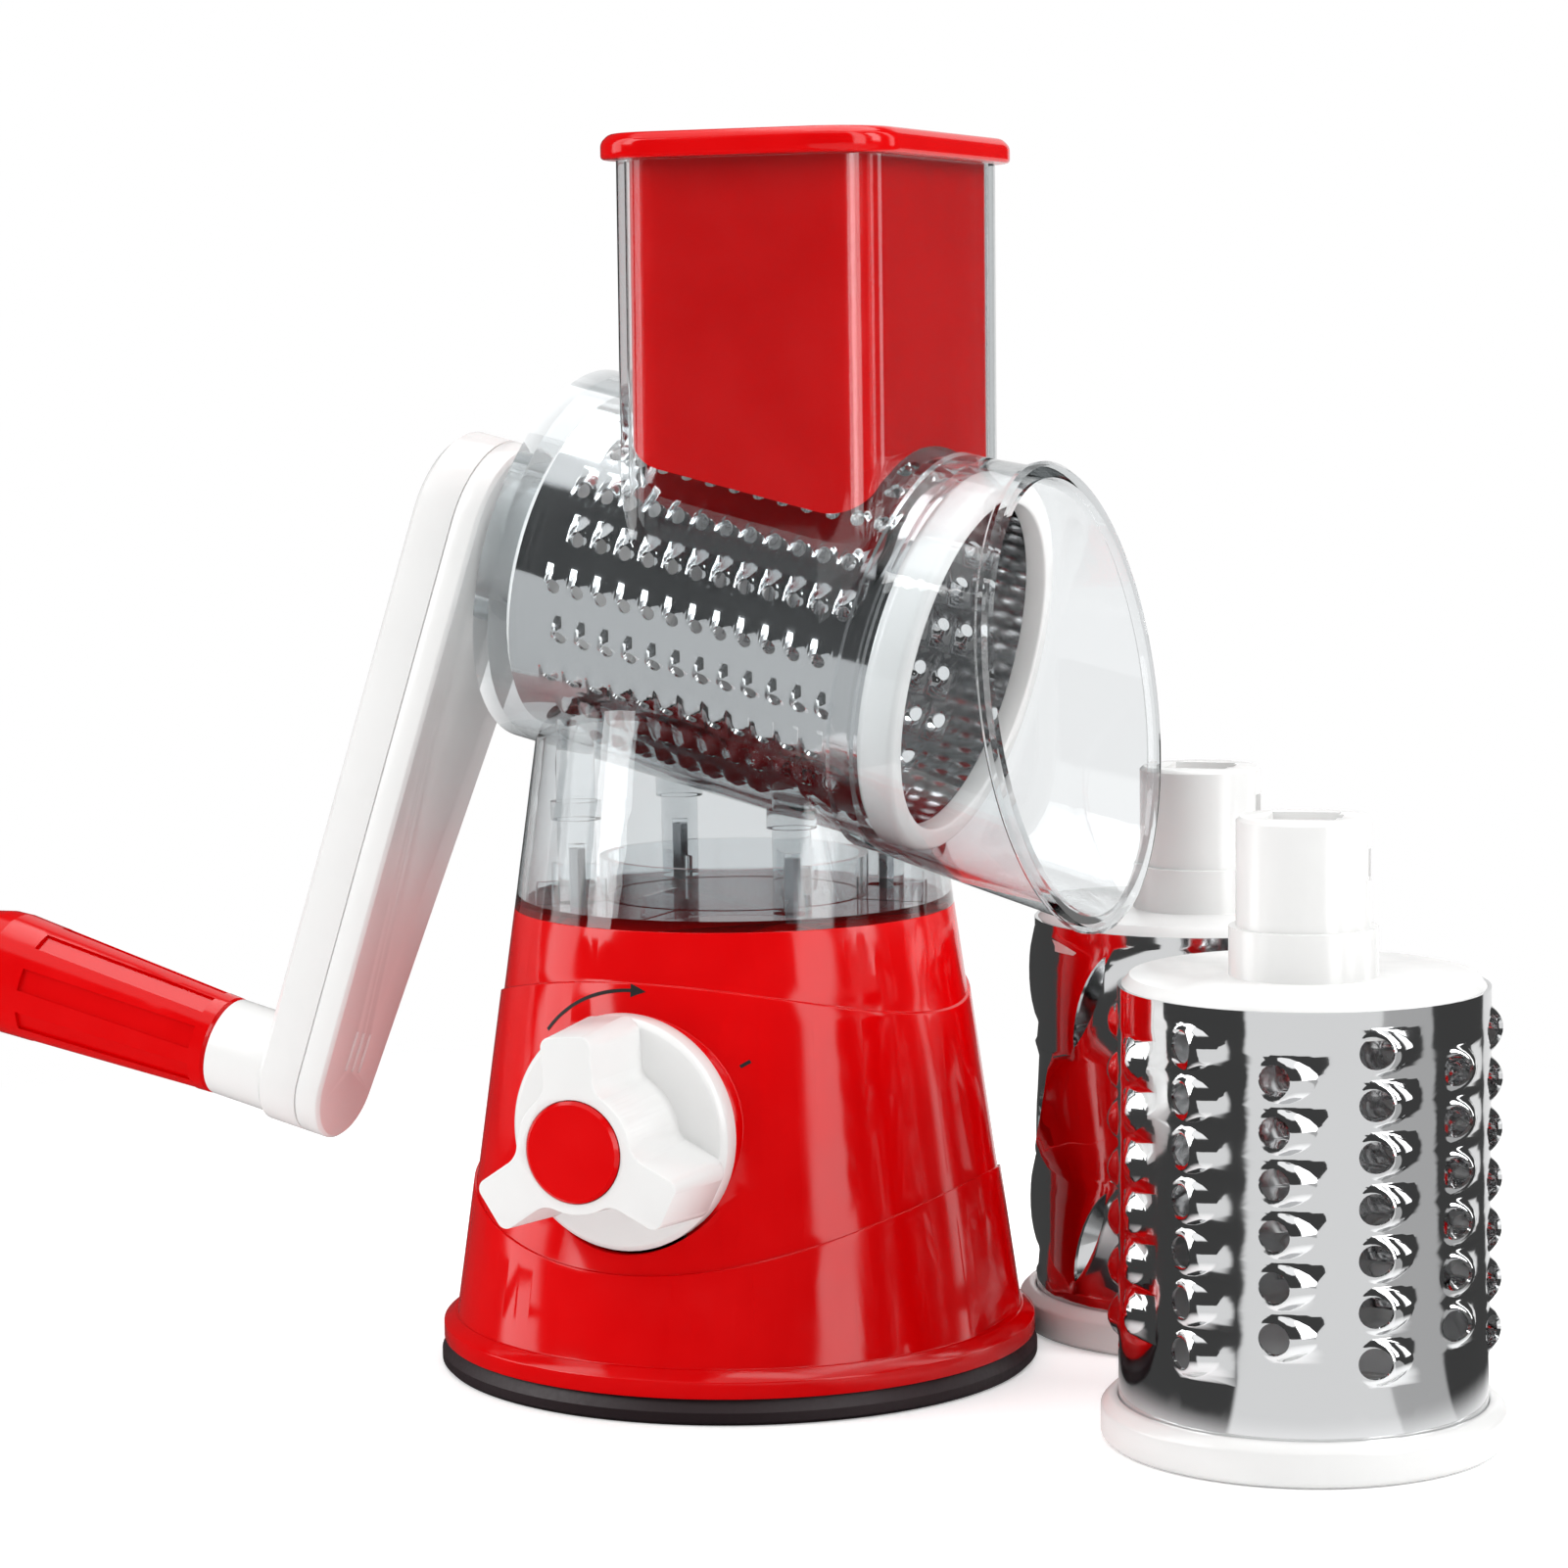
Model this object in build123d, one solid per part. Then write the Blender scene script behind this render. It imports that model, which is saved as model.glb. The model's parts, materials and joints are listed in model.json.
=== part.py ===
from build123d import *
from math import acos, atan2, cos, degrees, radians, sin, sqrt
import os

# Rotary cabbage shredder: a hand cranked drum grater on a suction foot, with two spare drums.
# Millimetres. Origin at the centre of the suction foot on the table, +Z up, +X towards the
# outlet mouth, and the locking knob faces -Y. The crank is on the -X side.

# ---- Suction foot and red base ------------------------------------------------------------
FOOT_R = 67.0               # rubber foot where it meets the table
FOOT_TOP_R = 65.4           # rubber foot under the base flange
FOOT_H = 5.6                # height of the rubber foot
FOOT_BORE_R = 52.0          # inner edge of the thick rubber rim
FOOT_LIP = 0.8              # bevel of the rubber rim's two lower edges
MEMBRANE_T = 2.0            # rubber diaphragm inside the rim, flat on the table at rest
MEMBRANE_BEAD_T = 3.2       # thicker edge of the diaphragm
MEMBRANE_BEAD_W = 6.0
FLANGE_R = 66.5             # red flange, lower edge
FLANGE_EDGE_H = 3.6         # upright edge of the flange
FLANGE_H = 5.7              # flange, bottom to step
FLANGE_LEDGE = 0.6          # flat ledge between the flange and the cone
CONE_FOOT_R = 62.0          # plain cone at the flange step
DECK_Z = 102.0              # top of the red base
DECK_R = 49.0               # radius of the red base at its top
SHELL_WALL = 2.6            # moulded wall of the red base
DECK_T = 3.0                # top deck of the red base
WAVE_STEP = 0.7             # height of each moulded wave step on the cone
UPPER_WAVE_FRONT_Z = 91.0   # upper wave line, at the front and back
UPPER_WAVE_SIDE_Z = 77.0    # upper wave line, at the two sides
LOWER_WAVE_FRONT_Z = 30.0   # lower wave line, at the front and back
LOWER_WAVE_SIDE_Z = 46.0    # lower wave line, at the two sides
PLATE_T = 3.0               # bottom plate
PLATE_DISH_R = 44.0         # raised middle of the bottom plate
PLATE_DISH_Z = 12.2         # underside of the raised middle
PLATE_RAMP_W = 5.0          # sloping wall round the raised middle
PLATE_SLOPE_T = 1.0
PLATE_EDGE_GAP = 0.2        # between the plate and the base's wall
GUIDE_TUBE_H = 16.0         # guide tube of the lifting stem
GUIDE_TUBE_WALL = 3.0
PLATE_SCREW_PCR = 55.0      # bottom plate screws, radius of their circle
PLATE_SCREW_COUNT = 3
PLATE_SCREW_FIRST = 30.0    # first bottom screw, from +X
BOSS_R = 4.6                # screw bosses in the red base
BOSS_H = 22.0

# ---- Locking knob, cam shaft and lifting yoke ----------------------------------------------
KNOB_Z = 60.0               # height of the knob axis
KNOB_SEAT_Y = 54.0          # flat seat of the knob, distance in front of the centre
KNOB_R = 25.2               # round skirt of the knob
KNOB_SKIRT_T = 5.6
KNOB_BEVEL = 1.2            # front edge of the skirt
KNOB_POCKET_GAP = 0.7       # round the skirt, in the base's pocket
KNOB_PAD_T = 9.6            # solid pad behind the knob
KNOB_PAD_INSET = 0.6        # how much smaller the pad is than the skirt
KNOB_LOBE_H = 20.5          # three-armed handle, above the skirt
KNOB_LOBE_REACH = 24.0      # from the axis to the end of an arm
KNOB_LOBE_W = 11.5          # width of an arm at its outer face
KNOB_CORE_R = 13.2          # round middle of the handle
KNOB_LOBE_ANGLE = 94.0      # first arm, from +X towards +Z
KNOB_LOBE_COUNT = 3
KNOB_DRAFT = 4.0            # draft of the handle's flanks, degrees
KNOB_LOBE_FILLET = 2.2      # rounded corners at an arm's end
KNOB_WEB_FILLET = 5.0       # rounded inner corners between the arms
CAP_R = 10.75               # coloured cap in the knob
CAP_T = 2.8
CAP_SEAT_DEPTH = 2.0
CAP_BEVEL = 0.7
CAP_GAP = 0.15              # round the cap, in the knob
CAP_SEAT_GAP = 0.05         # under the cap
SHAFT_R = 4.0               # cam shaft
SHAFT_BACK_Y = 20.0         # rear end of the cam shaft
SHAFT_FRONT_Y = 67.0        # front end of the cam shaft, inside the knob
CAM_R = 8.0
CAM_THROW = 2.83            # cam centre to shaft axis
CAM_W = 6.0
YOKE_W = 8.0                # along the shaft
YOKE_WALL = 4.0
YOKE_CLEAR = 0.25           # between the cam and the yoke's two level faces
YOKE_SIDE_CLEAR = 0.6       # between the cam and the yoke's upright faces
STEM_R = 6.0
STEM_FOOT_R = 14.0
STEM_FOOT_T = 2.0
BRACKET_Y = 12.0            # centre of each shaft bracket from the middle
BRACKET_T = 4.0
BRACKET_W = 14.0
BRACKET_FOOT_L = 12.0       # length of a bracket's foot, along the shaft

# ---- Clear housing: neck, barrel, hopper and mouth -----------------------------------------
AXIS_Z = 169.7              # drum axis above the table, over the foot's centre
TILT = 13.45                # the drum axis falls towards the mouth, degrees
HOUSING_WALL = 2.2
DRUM_GAP = 2.3              # between the drum's sheet and the barrel
BARREL_BACK_S = -41.0       # back face of the barrel, along the axis
BACK_WALL_T = 2.5
COLLAR_T = 3.0              # wall of the bearing collar behind the barrel
COLLAR_L = 11.5
MOUTH_RING_L = 4.5          # thick ring of the barrel behind the drum's front ring
RING_GAP = 0.5              # round the drum's front ring and behind it
HUB_STEP_GAP = 0.5          # in front of the hub's collar
RIM_X = 80.4                # centre of the mouth's rim
RIM_Z = 149.8
RIM_R = 49.4
RIM_LEAN = 7.75             # the rim's top leans back, degrees
RIM_BEAD_R = 1.5            # half thickness of the rim's bead
RIM_BEAD_OUT = 1.5          # bead beyond the mouth's wall
RIM_BEVEL = 1.0
NECK_TOP_Z = 152.0
NECK_TOP_RX = 43.6          # half width of the neck at its top, along X
NECK_TOP_RY = 35.0          # half width of the neck at its top, along Y
NECK_FLOOR_T = 2.0
NECK_RING_R = 30.0
NECK_RING_H = 9.0
NECK_RING_T = 1.8
NECK_RIB_COUNT = 8
NECK_RIB_T = 1.2
NECK_RIB_H = 5.0
POST_PITCH_R = 36.6         # four screw posts, radius of their circle
POST_R = 4.2
POST_COLLAR_R = 5.4
POST_COLLAR_Z = 124.5
POST_COLLAR_H = 4.0
HOPPER_X = 20.3             # centre of the hopper
HOPPER_W = 61.2             # along X
HOPPER_D = 83.8             # along Y
HOPPER_CORNER_R = 12.0
HOPPER_TOP_Z = 264.8
THROAT_HALF_D = 35.5        # half depth of the opening from the hopper into the barrel
SCREW_R = 1.9
SCREW_HEAD_R = 3.6
SCREW_HEAD_T = 2.4
SCREW_CLEAR = 0.02
SCREW_SIDES = 6             # screws and their holes are six-sided bars
NECK_SCREW_COUNT = 4
NECK_SCREW_REACH = 14.0     # neck screws above the deck
KNOB_SCREW_REACH = 14.0     # knob screw in the cam shaft
PLATE_SCREW_REACH = 10.0    # bottom screws above the plate

# ---- Pusher ---------------------------------------------------------------------------------
PUSHER_CLEAR = 0.6          # all round, in the hopper
PUSHER_WALL = 2.0
PUSHER_ARCH_R = 60.0        # hollow underside that follows the drum
PUSHER_ARCH_H = 44.0        # top of that hollow above the drum axis
PUSHER_LID_T = 5.4
PUSHER_LID_OVERHANG = 3.3
PUSHER_LID_BEVEL = 1.8
PUSHER_LID_DISH = 1.6       # shallow dish in the lid's top
PUSHER_SEAT_GAP = 0.2       # between the lid and the hopper's top edge
LID_PLUG_H = 6.0
LID_PLUG_WALL = 2.0
LID_PLUG_CLEAR = 0.1        # round the plug, in the pusher

# ---- Drums ----------------------------------------------------------------------------------
# A drum stands on its front ring: local z is 0 at the ring and rises to the end of the hub.
DRUM_R = 38.0               # outside of the steel sheet
SHEET_T = 0.8
DRUM_FRONT_S = 60.0         # front face of the fitted drum, along the drum axis
RING_OVER = 3.7             # how far the front ring stands out from the sheet
RING_LIP = 0.8              # lip of the ring inside the sheet
RING_H = 9.0
RING_BEVEL = 2.0
SHEET_SEAT = 4.0            # how deep the sheet sits in the ring
SHEET_TOP = 94.5            # upper edge of the sheet
HUB_PLATE_T = 4.0
HUB_PLATE_RISE = 2.0        # top of the plate above the sheet's edge
HUB_PLATE_SLOPE = 1.6       # sloping edge of the plate, inwards
HUB_SPIGOT_H = 6.0          # part of the plate inside the sheet
HUB_SPIGOT_T = 2.0
HUB_COLLAR_R = 15.3
HUB_COLLAR_H = 10.0
HUB_R = 13.8
HUB_L = 22.5                # from the collar to the end
HUB_BEVEL = 0.8
SOCKET = 14.0               # square socket through the hub
WINDOW = 6.5                # square window for the crank's catch
WINDOW_DROP = 9.5           # window centre below the hub's end
LEAD_IN = 1.0               # shallow groove that leads the catch to the window
SHEET_CLEAR = 0.05          # sheet in its ring and on its spigot
FINE_ROWS = 22              # rows of teeth round the fine drum
FINE_PER_ROW = 12
FINE_PITCH = 5.81
FINE_FIRST_Z = 17.8
FINE_HOLE_R = 1.9
ROUND_END = 4.0             # round ends of a grating sheet beyond its flats
COARSE_COLUMNS = 12
COARSE_PER_COLUMN = 7
COARSE_PITCH = 10.33
COARSE_FIRST_Z = 24.2
COARSE_HOLE_R = 3.2
COARSE_SIDES = 6
COARSE_SPUR_H = 2.0         # cutting spur above the sheet
COARSE_SPUR_W = 5.0
COARSE_SPUR_L = 3.2         # spur's ramp, round the drum
SLOT_BANDS = 3
SLOTS_PER_BAND = 6
SLOT_L = 24.0
SLOT_W = 6.0
SLOT_SLANT = 24.0           # from the drum's own axis, degrees
SLOT_MARGIN = 16.0          # from the sheet's edges to the middle of the end bands

# ---- Crank and grip -------------------------------------------------------------------------
ARM_FRONT_S = -54.6         # face of the arm towards the barrel
ARM_BACK_S = -71.8
ARM_SPLIT_S = -61.1         # parting line between the arm and its cover
ARM_THROW = 129.4
ARM_HUB_R = 21.4
ARM_END_R = 12.3
ARM_SWING = -14.0           # at rest, about the drum axis, from straight down towards the front
ARM_WALL = 2.6
ARM_BEVEL = 1.6
ARM_SEAM = 0.35             # groove at the parting line
COVER_T = 2.6
ARM_BOSS_R = 14.0           # boss inside the arm, behind the hub's end
ARM_HUB_GAP = 0.15          # round the drum's hub, in the crank
SPLIT_GAP = 0.02            # between the arm and its cover
SLIT_COUNT = 3
SLIT_L = 9.0
SLIT_W = 1.0
SLIT_PITCH = 3.2
SLIT_DEPTH = 0.5
SLIT_FROM_PIN = 8.0         # from the grip's axis to the middle of the slits
PEG = 13.7                  # square drive peg
PEG_BEVEL = 1.5
PEG_FRONT_S = -41.0
CATCH = 5.8                 # catch of the peg, in the hub's window
CATCH_OUT = 0.8             # how far the catch stands out of the peg's side
STUB_R = 11.2               # round stub that carries the grip
STUB_END_S = -86.0
STUB_WALL = 2.0
SPINDLE_R = 3.0
SPINDLE_HEAD_R = 5.5
SPINDLE_HEAD_T = 2.0
SPINDLE_SEAT = 3.0          # stub's end wall left in front of the spindle head
SPINDLE_CLEAR = 0.02        # round the spindle, in the crank
SPINDLE_SEAT_GAP = 0.05     # under the spindle's head
HEAD_GAP = 0.2              # round the spindle's head
GRIP_GAP = 0.3
GRIP_L = 72.0
GRIP_INNER_R = 11.3
GRIP_OUTER_R = 14.2
GRIP_WIDEST = 60.0          # from the inner end to the widest place
GRIP_END_R = 12.0           # at the outer end, before the cap
GRIP_CROWN_L = 4.0          # gently rounded stretch beyond the widest place
GRIP_CROWN_DROP = 0.3
GRIP_BEVEL = 0.8            # both end edges of the grip
GRIP_FLUTES = 8
GRIP_FLUTE_W = 5.2
GRIP_FLUTE_DEPTH = 0.9
GRIP_FLUTE_START = 4.0      # from the inner end
GRIP_FLUTE_L = 46.0
GRIP_CAP_R = 8.0
GRIP_CAP_T = 3.0
GRIP_CAP_CROWN = 0.8        # bevelled top of the cap, beyond the grip's end
NUT_R = 5.0                 # lock nut at the spindle's end
NUT_T = 3.0
NUT_CAP_GAP = 1.0           # between the nut and the grip's cap
CAP_FIT = 0.05              # round the grip's cap

# ---- Spare drums ----------------------------------------------------------------------------
COARSE_AT = (139.3, -23.7)
COARSE_TURN = 12.0
SLICER_FOOT_GAP = 0.5       # between the slicing drum's ring and the rubber foot
SLICER_BEARING = 37.2       # its direction from the base's axis, from +X towards +Y
SLICER_TURN = 8.0

RUN_CLEAR = 0.07            # radial running clearance of every shaft
PRESS_CLEAR = 0.03          # between pieces pressed together
BODY_GAP = 0.3              # gap between pieces that move past each other
TOUCH_GAP = 0.1             # gap between pieces that rest on each other
OVERCUT = 1.0               # how far a cut runs past the face that it opens
EPS = 0.01

PLATE_Z = FOOT_H
STEM_FOOT_Z = MEMBRANE_T + TOUCH_GAP
CAM_DROP = CAM_THROW * sin(radians(45))
KNOB_POCKET_R = KNOB_R + KNOB_POCKET_GAP
KNOB_BACK_Y = KNOB_SEAT_Y + BODY_GAP
KNOB_SKIRT_Y = KNOB_BACK_Y + KNOB_SKIRT_T
KNOB_FACE_Y = KNOB_SKIRT_Y + KNOB_LOBE_H
RING_R = DRUM_R + RING_OVER
RING_BORE_R = DRUM_R - SHEET_T - RING_LIP
HUB_PLATE_TOP = SHEET_TOP + HUB_PLATE_RISE
HUB_COLLAR_TOP = HUB_PLATE_TOP + HUB_COLLAR_H
HUB_TOP = HUB_COLLAR_TOP + HUB_L
BARREL_R = DRUM_R + DRUM_GAP + HOUSING_WALL
MOUTH_RING_R = RING_R + RING_GAP + HOUSING_WALL
STEP_S = DRUM_FRONT_S - RING_H - RING_GAP
COLLAR_R = HUB_COLLAR_R + BODY_GAP + COLLAR_T
HUB_STEP_S = DRUM_FRONT_S - HUB_COLLAR_TOP - HUB_STEP_GAP
HUB_END_S = DRUM_FRONT_S - HUB_TOP
GRIP_START_S = STUB_END_S - GRIP_GAP
SLICER_OUT = FOOT_R + RING_R + SLICER_FOOT_GAP
SLICER_AT = (SLICER_OUT * cos(radians(SLICER_BEARING)), SLICER_OUT * sin(radians(SLICER_BEARING)))


# ---- Frames ---------------------------------------------------------------------------------
def axis_point(s, h=0.0, y=0.0):
    """A point at s along the drum axis, h square to it upwards, and y sideways."""
    tilt = radians(TILT)
    return (s * cos(tilt) + h * sin(tilt), y, AXIS_Z - s * sin(tilt) + h * cos(tilt))


def axis_plane(s, h=0.0, y=0.0):
    """Plane square to the drum axis: its x is world +Y, its y is upwards, its z runs to the mouth."""
    tilt = radians(TILT)
    return Plane(origin=axis_point(s, h, y), x_dir=(0, 1, 0), z_dir=(cos(tilt), 0, -sin(tilt)))


def rim_plane():
    """Plane of the mouth's rim."""
    lean = radians(RIM_LEAN)
    return Plane(origin=(RIM_X, 0, RIM_Z), x_dir=(0, 1, 0), z_dir=(cos(lean), 0, sin(lean)))


def knob_plane(y):
    """Plane square to the knob axis, y in front of the centre: its z points to the user."""
    return Plane(origin=(0, -y, KNOB_Z), x_dir=(1, 0, 0), z_dir=(0, -1, 0))


def arm_plane(s, throw=0.0):
    """Plane square to the drum axis whose x runs along the crank arm."""
    swing = radians(ARM_SWING)
    down = -throw * cos(swing)
    side = throw * sin(swing)
    plane = axis_plane(s, down, side)
    tilt = radians(TILT)
    along = (-sin(tilt) * cos(swing), sin(swing), -cos(tilt) * cos(swing))
    return Plane(origin=plane.origin, x_dir=along, z_dir=plane.z_dir)


def drum_axis():
    """The drum axis, pointing to the mouth."""
    return Axis(axis_point(0), axis_plane(0).z_dir)


def tube_between(radius, s_from, s_to):
    """Round bar on the drum axis."""
    return extrude(axis_plane(s_from) * Circle(radius), amount=s_to - s_from)


def upright(radius, x, y, z_from, z_to):
    """Round bar along Z."""
    return Pos(x, y, z_from) * extrude(Circle(radius), amount=z_to - z_from)


def screw_bar(radius, x, y, z_from, z_to):
    """Six-sided bar along Z, for a screw or its hole."""
    return Pos(x, y, z_from) * extrude(RegularPolygon(radius, SCREW_SIDES), amount=z_to - z_from)


def on_circle(count, radius, first=45.0):
    """Points evenly spaced on a circle about the Z axis."""
    angles = [radians(first + 360.0 * i / count) for i in range(count)]
    return [(radius * cos(a), radius * sin(a)) for a in angles]


def spin(points):
    """Solid of revolution about Z from (radius, z) points."""
    return revolve(Plane.XZ * make_face(Polyline(*points, close=True)), Axis.Z)


def group(solids):
    """Separate identical solids kept together as one node."""
    return Compound(children=list(solids))


# ---- Base -----------------------------------------------------------------------------------
def cone_radius(z, step=0.0):
    """Outside radius of the red cone at height z."""
    step_z = PLATE_Z + FLANGE_H
    slope = (CONE_FOOT_R - DECK_R) / (DECK_Z - step_z)
    return DECK_R + slope * (DECK_Z - z) + step


def cone_solid(step):
    """Solid red cone, grown outwards by step."""
    low = PLATE_Z
    return spin([(0, low), (cone_radius(low, step), low), (cone_radius(DECK_Z, step), DECK_Z), (0, DECK_Z)])


def below_wave(front_z, side_z):
    """Everything below a wave line that is front_z high at front and back and side_z at the sides."""
    reach = CONE_FOOT_R
    wave = ThreePointArc((-reach, side_z), (0, front_z), (reach, side_z))
    floor = Polyline((reach, side_z), (reach, 0), (-reach, 0), (-reach, side_z))
    profile = Plane.XZ * make_face([*wave.edges(), *floor.edges()])
    return extrude(profile, amount=FOOT_R, both=True)


def make_base_shell():
    top_z = DECK_Z - DECK_T
    flange_top = PLATE_Z + FLANGE_H
    shell = cone_solid(0)
    shell += cone_solid(WAVE_STEP) & below_wave(UPPER_WAVE_FRONT_Z, UPPER_WAVE_SIDE_Z)
    shell += cone_solid(2 * WAVE_STEP) & below_wave(LOWER_WAVE_FRONT_Z, LOWER_WAVE_SIDE_Z)
    foot_r = cone_radius(flange_top, 2 * WAVE_STEP)
    low = PLATE_Z - OVERCUT
    shell += spin([
        (0, PLATE_Z), (FLANGE_R, PLATE_Z), (FLANGE_R, PLATE_Z + FLANGE_EDGE_H),
        (foot_r + FLANGE_LEDGE, flange_top), (0, flange_top),
    ])
    shell -= spin([
        (0, low), (cone_radius(low, -SHELL_WALL), low),
        (cone_radius(top_z, -SHELL_WALL), top_z), (0, top_z),
    ])
    shell += extrude(knob_plane(KNOB_SEAT_Y) * Circle(KNOB_R - KNOB_PAD_INSET), amount=-KNOB_PAD_T)
    shell -= extrude(knob_plane(KNOB_SEAT_Y) * Circle(KNOB_POCKET_R), amount=KNOB_R)
    shell -= extrude(knob_plane(FOOT_R) * Circle(SHAFT_R + RUN_CLEAR), amount=-FOOT_R)
    plate_top = PLATE_Z + PLATE_T
    for x, y in plate_screw_places():
        shell += upright(BOSS_R, x, y, plate_top, plate_top + BOSS_H)
        shell -= screw_bar(SCREW_R, x, y, PLATE_Z, plate_top + PLATE_SCREW_REACH + OVERCUT)
    for x, y in neck_screw_places():
        shell -= screw_bar(SCREW_R, x, y, top_z - OVERCUT, DECK_Z + OVERCUT)
    return shell


def plate_screw_places():
    """Where the bottom plate is screwed to the base."""
    return on_circle(PLATE_SCREW_COUNT, PLATE_SCREW_PCR, PLATE_SCREW_FIRST)


def neck_screw_places():
    """Where the clear housing is screwed to the base."""
    return on_circle(NECK_SCREW_COUNT, POST_PITCH_R)


def make_suction_ring():
    return spin([
        (FOOT_BORE_R, FOOT_LIP), (FOOT_BORE_R + FOOT_LIP, 0), (FOOT_R - FOOT_LIP, 0), (FOOT_R, FOOT_LIP),
        (FOOT_R, FOOT_H / 2), (FOOT_TOP_R, FOOT_H), (FOOT_BORE_R, FOOT_H),
    ])


def make_cup_membrane():
    edge = FOOT_BORE_R - BODY_GAP
    bead = edge - MEMBRANE_BEAD_W
    return spin([(0, 0), (edge, 0), (edge, MEMBRANE_BEAD_T), (bead, MEMBRANE_T), (0, MEMBRANE_T)])


def make_base_plate():
    rim_r = cone_radius(PLATE_Z + PLATE_T, -SHELL_WALL) - PLATE_EDGE_GAP
    rise_r = PLATE_DISH_R + PLATE_RAMP_W
    slope = PLATE_SLOPE_T
    deck_top = PLATE_DISH_Z + PLATE_T
    tube_r = STEM_R + RUN_CLEAR + GUIDE_TUBE_WALL
    plate = spin([
        (0, PLATE_DISH_Z), (PLATE_DISH_R, PLATE_DISH_Z), (rise_r, PLATE_Z), (rim_r, PLATE_Z),
        (rim_r, PLATE_Z + PLATE_T), (rise_r + slope, PLATE_Z + PLATE_T), (PLATE_DISH_R + slope, deck_top),
        (0, deck_top),
    ])
    plate += upright(tube_r, 0, 0, deck_top - EPS, PLATE_DISH_Z + GUIDE_TUBE_H)
    bracket_top = KNOB_Z + SHAFT_R + YOKE_WALL
    for side in (-1, 1):
        height = bracket_top - deck_top
        bracket = Box(BRACKET_W, BRACKET_T, height)
        plate += Pos(0, side * BRACKET_Y, deck_top + height / 2 - EPS) * bracket
        foot = Box(BRACKET_W, BRACKET_FOOT_L, BRACKET_T)
        foot_y = BRACKET_Y + (BRACKET_FOOT_L - BRACKET_T) / 2
        plate += Pos(0, side * foot_y, deck_top + BRACKET_T / 2 - EPS) * foot
    plate -= upright(STEM_R + RUN_CLEAR, 0, 0, PLATE_DISH_Z - OVERCUT, PLATE_DISH_Z + GUIDE_TUBE_H + OVERCUT)
    plate -= extrude(knob_plane(FOOT_R) * Circle(SHAFT_R + RUN_CLEAR), amount=-2 * FOOT_R)
    for x, y in plate_screw_places():
        plate -= screw_bar(SCREW_R, x, y, PLATE_Z - OVERCUT, PLATE_Z + PLATE_T + OVERCUT)
        plate -= screw_bar(SCREW_HEAD_R + BODY_GAP, x, y, PLATE_Z - OVERCUT, PLATE_Z + PLATE_T / 2)
    return plate


def make_screw(x, y, head_z, head_t, reach):
    """Screw pointing up, with its head below head_z."""
    head = screw_bar(SCREW_HEAD_R, x, y, head_z - head_t, head_z)
    return head + screw_bar(SCREW_R - SCREW_CLEAR, x, y, head_z, head_z + reach)


def make_plate_screws():
    head_z = PLATE_Z + PLATE_T / 2
    reach = PLATE_T / 2 + PLATE_SCREW_REACH
    head_t = PLATE_T / 2 - TOUCH_GAP
    return group(make_screw(x, y, head_z, head_t, reach) for x, y in plate_screw_places())


def make_neck_screws():
    reach = DECK_T + NECK_SCREW_REACH
    head_z = DECK_Z - DECK_T
    return group(make_screw(x, y, head_z, SCREW_HEAD_T, reach) for x, y in neck_screw_places())


# ---- Knob and lift mechanism ----------------------------------------------------------------
def lobe_sketch():
    """Outline of the three-armed handle."""
    outline = Circle(KNOB_CORE_R)
    length = KNOB_LOBE_REACH
    for i in range(KNOB_LOBE_COUNT):
        angle = KNOB_LOBE_ANGLE + 360.0 * i / KNOB_LOBE_COUNT
        arm = Pos(length / 2, 0) * Rectangle(length, KNOB_LOBE_W)
        outline += Rot(0, 0, angle) * arm
    far = [v for v in outline.vertices() if sqrt(v.X ** 2 + v.Y ** 2) > KNOB_CORE_R + EPS]
    outline = fillet(far, KNOB_LOBE_FILLET)
    near = [v for v in outline.vertices() if sqrt(v.X ** 2 + v.Y ** 2) < KNOB_CORE_R + EPS]
    return fillet(near, KNOB_WEB_FILLET)


def make_knob():
    skirt = extrude(knob_plane(KNOB_BACK_Y) * Circle(KNOB_R), amount=KNOB_SKIRT_T)
    rim = skirt.faces().sort_by(Axis.Y)[0].edges()
    skirt = chamfer(rim, KNOB_BEVEL)
    handle = extrude(knob_plane(KNOB_FACE_Y) * lobe_sketch(), amount=-KNOB_LOBE_H, taper=-KNOB_DRAFT)
    knob = skirt + (handle & extrude(knob_plane(KNOB_BACK_Y) * Circle(2 * KNOB_R), amount=KNOB_R * 2))
    knob -= extrude(knob_plane(KNOB_FACE_Y - CAP_SEAT_DEPTH) * Circle(CAP_R + CAP_GAP), amount=KNOB_R)
    knob -= extrude(knob_plane(SHAFT_FRONT_Y) * Circle(SHAFT_R + PRESS_CLEAR), amount=KNOB_R)
    knob -= extrude(knob_plane(KNOB_SEAT_Y) * Circle(SHAFT_R + PRESS_CLEAR), amount=KNOB_R)
    return knob


def make_knob_cap():
    seat = KNOB_FACE_Y - CAP_SEAT_DEPTH
    cap = extrude(knob_plane(seat + CAP_SEAT_GAP) * Circle(CAP_R), amount=CAP_T)
    front = cap.faces().sort_by(Axis.Y)[0].edges()
    return chamfer(front, CAP_BEVEL)


def make_knob_screw():
    seat = knob_plane(SHAFT_FRONT_Y + TOUCH_GAP)
    head = extrude(seat * RegularPolygon(SCREW_HEAD_R, SCREW_SIDES), amount=SCREW_HEAD_T)
    return head + extrude(seat * RegularPolygon(SCREW_R - SCREW_CLEAR, SCREW_SIDES), amount=-KNOB_SCREW_REACH)


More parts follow.
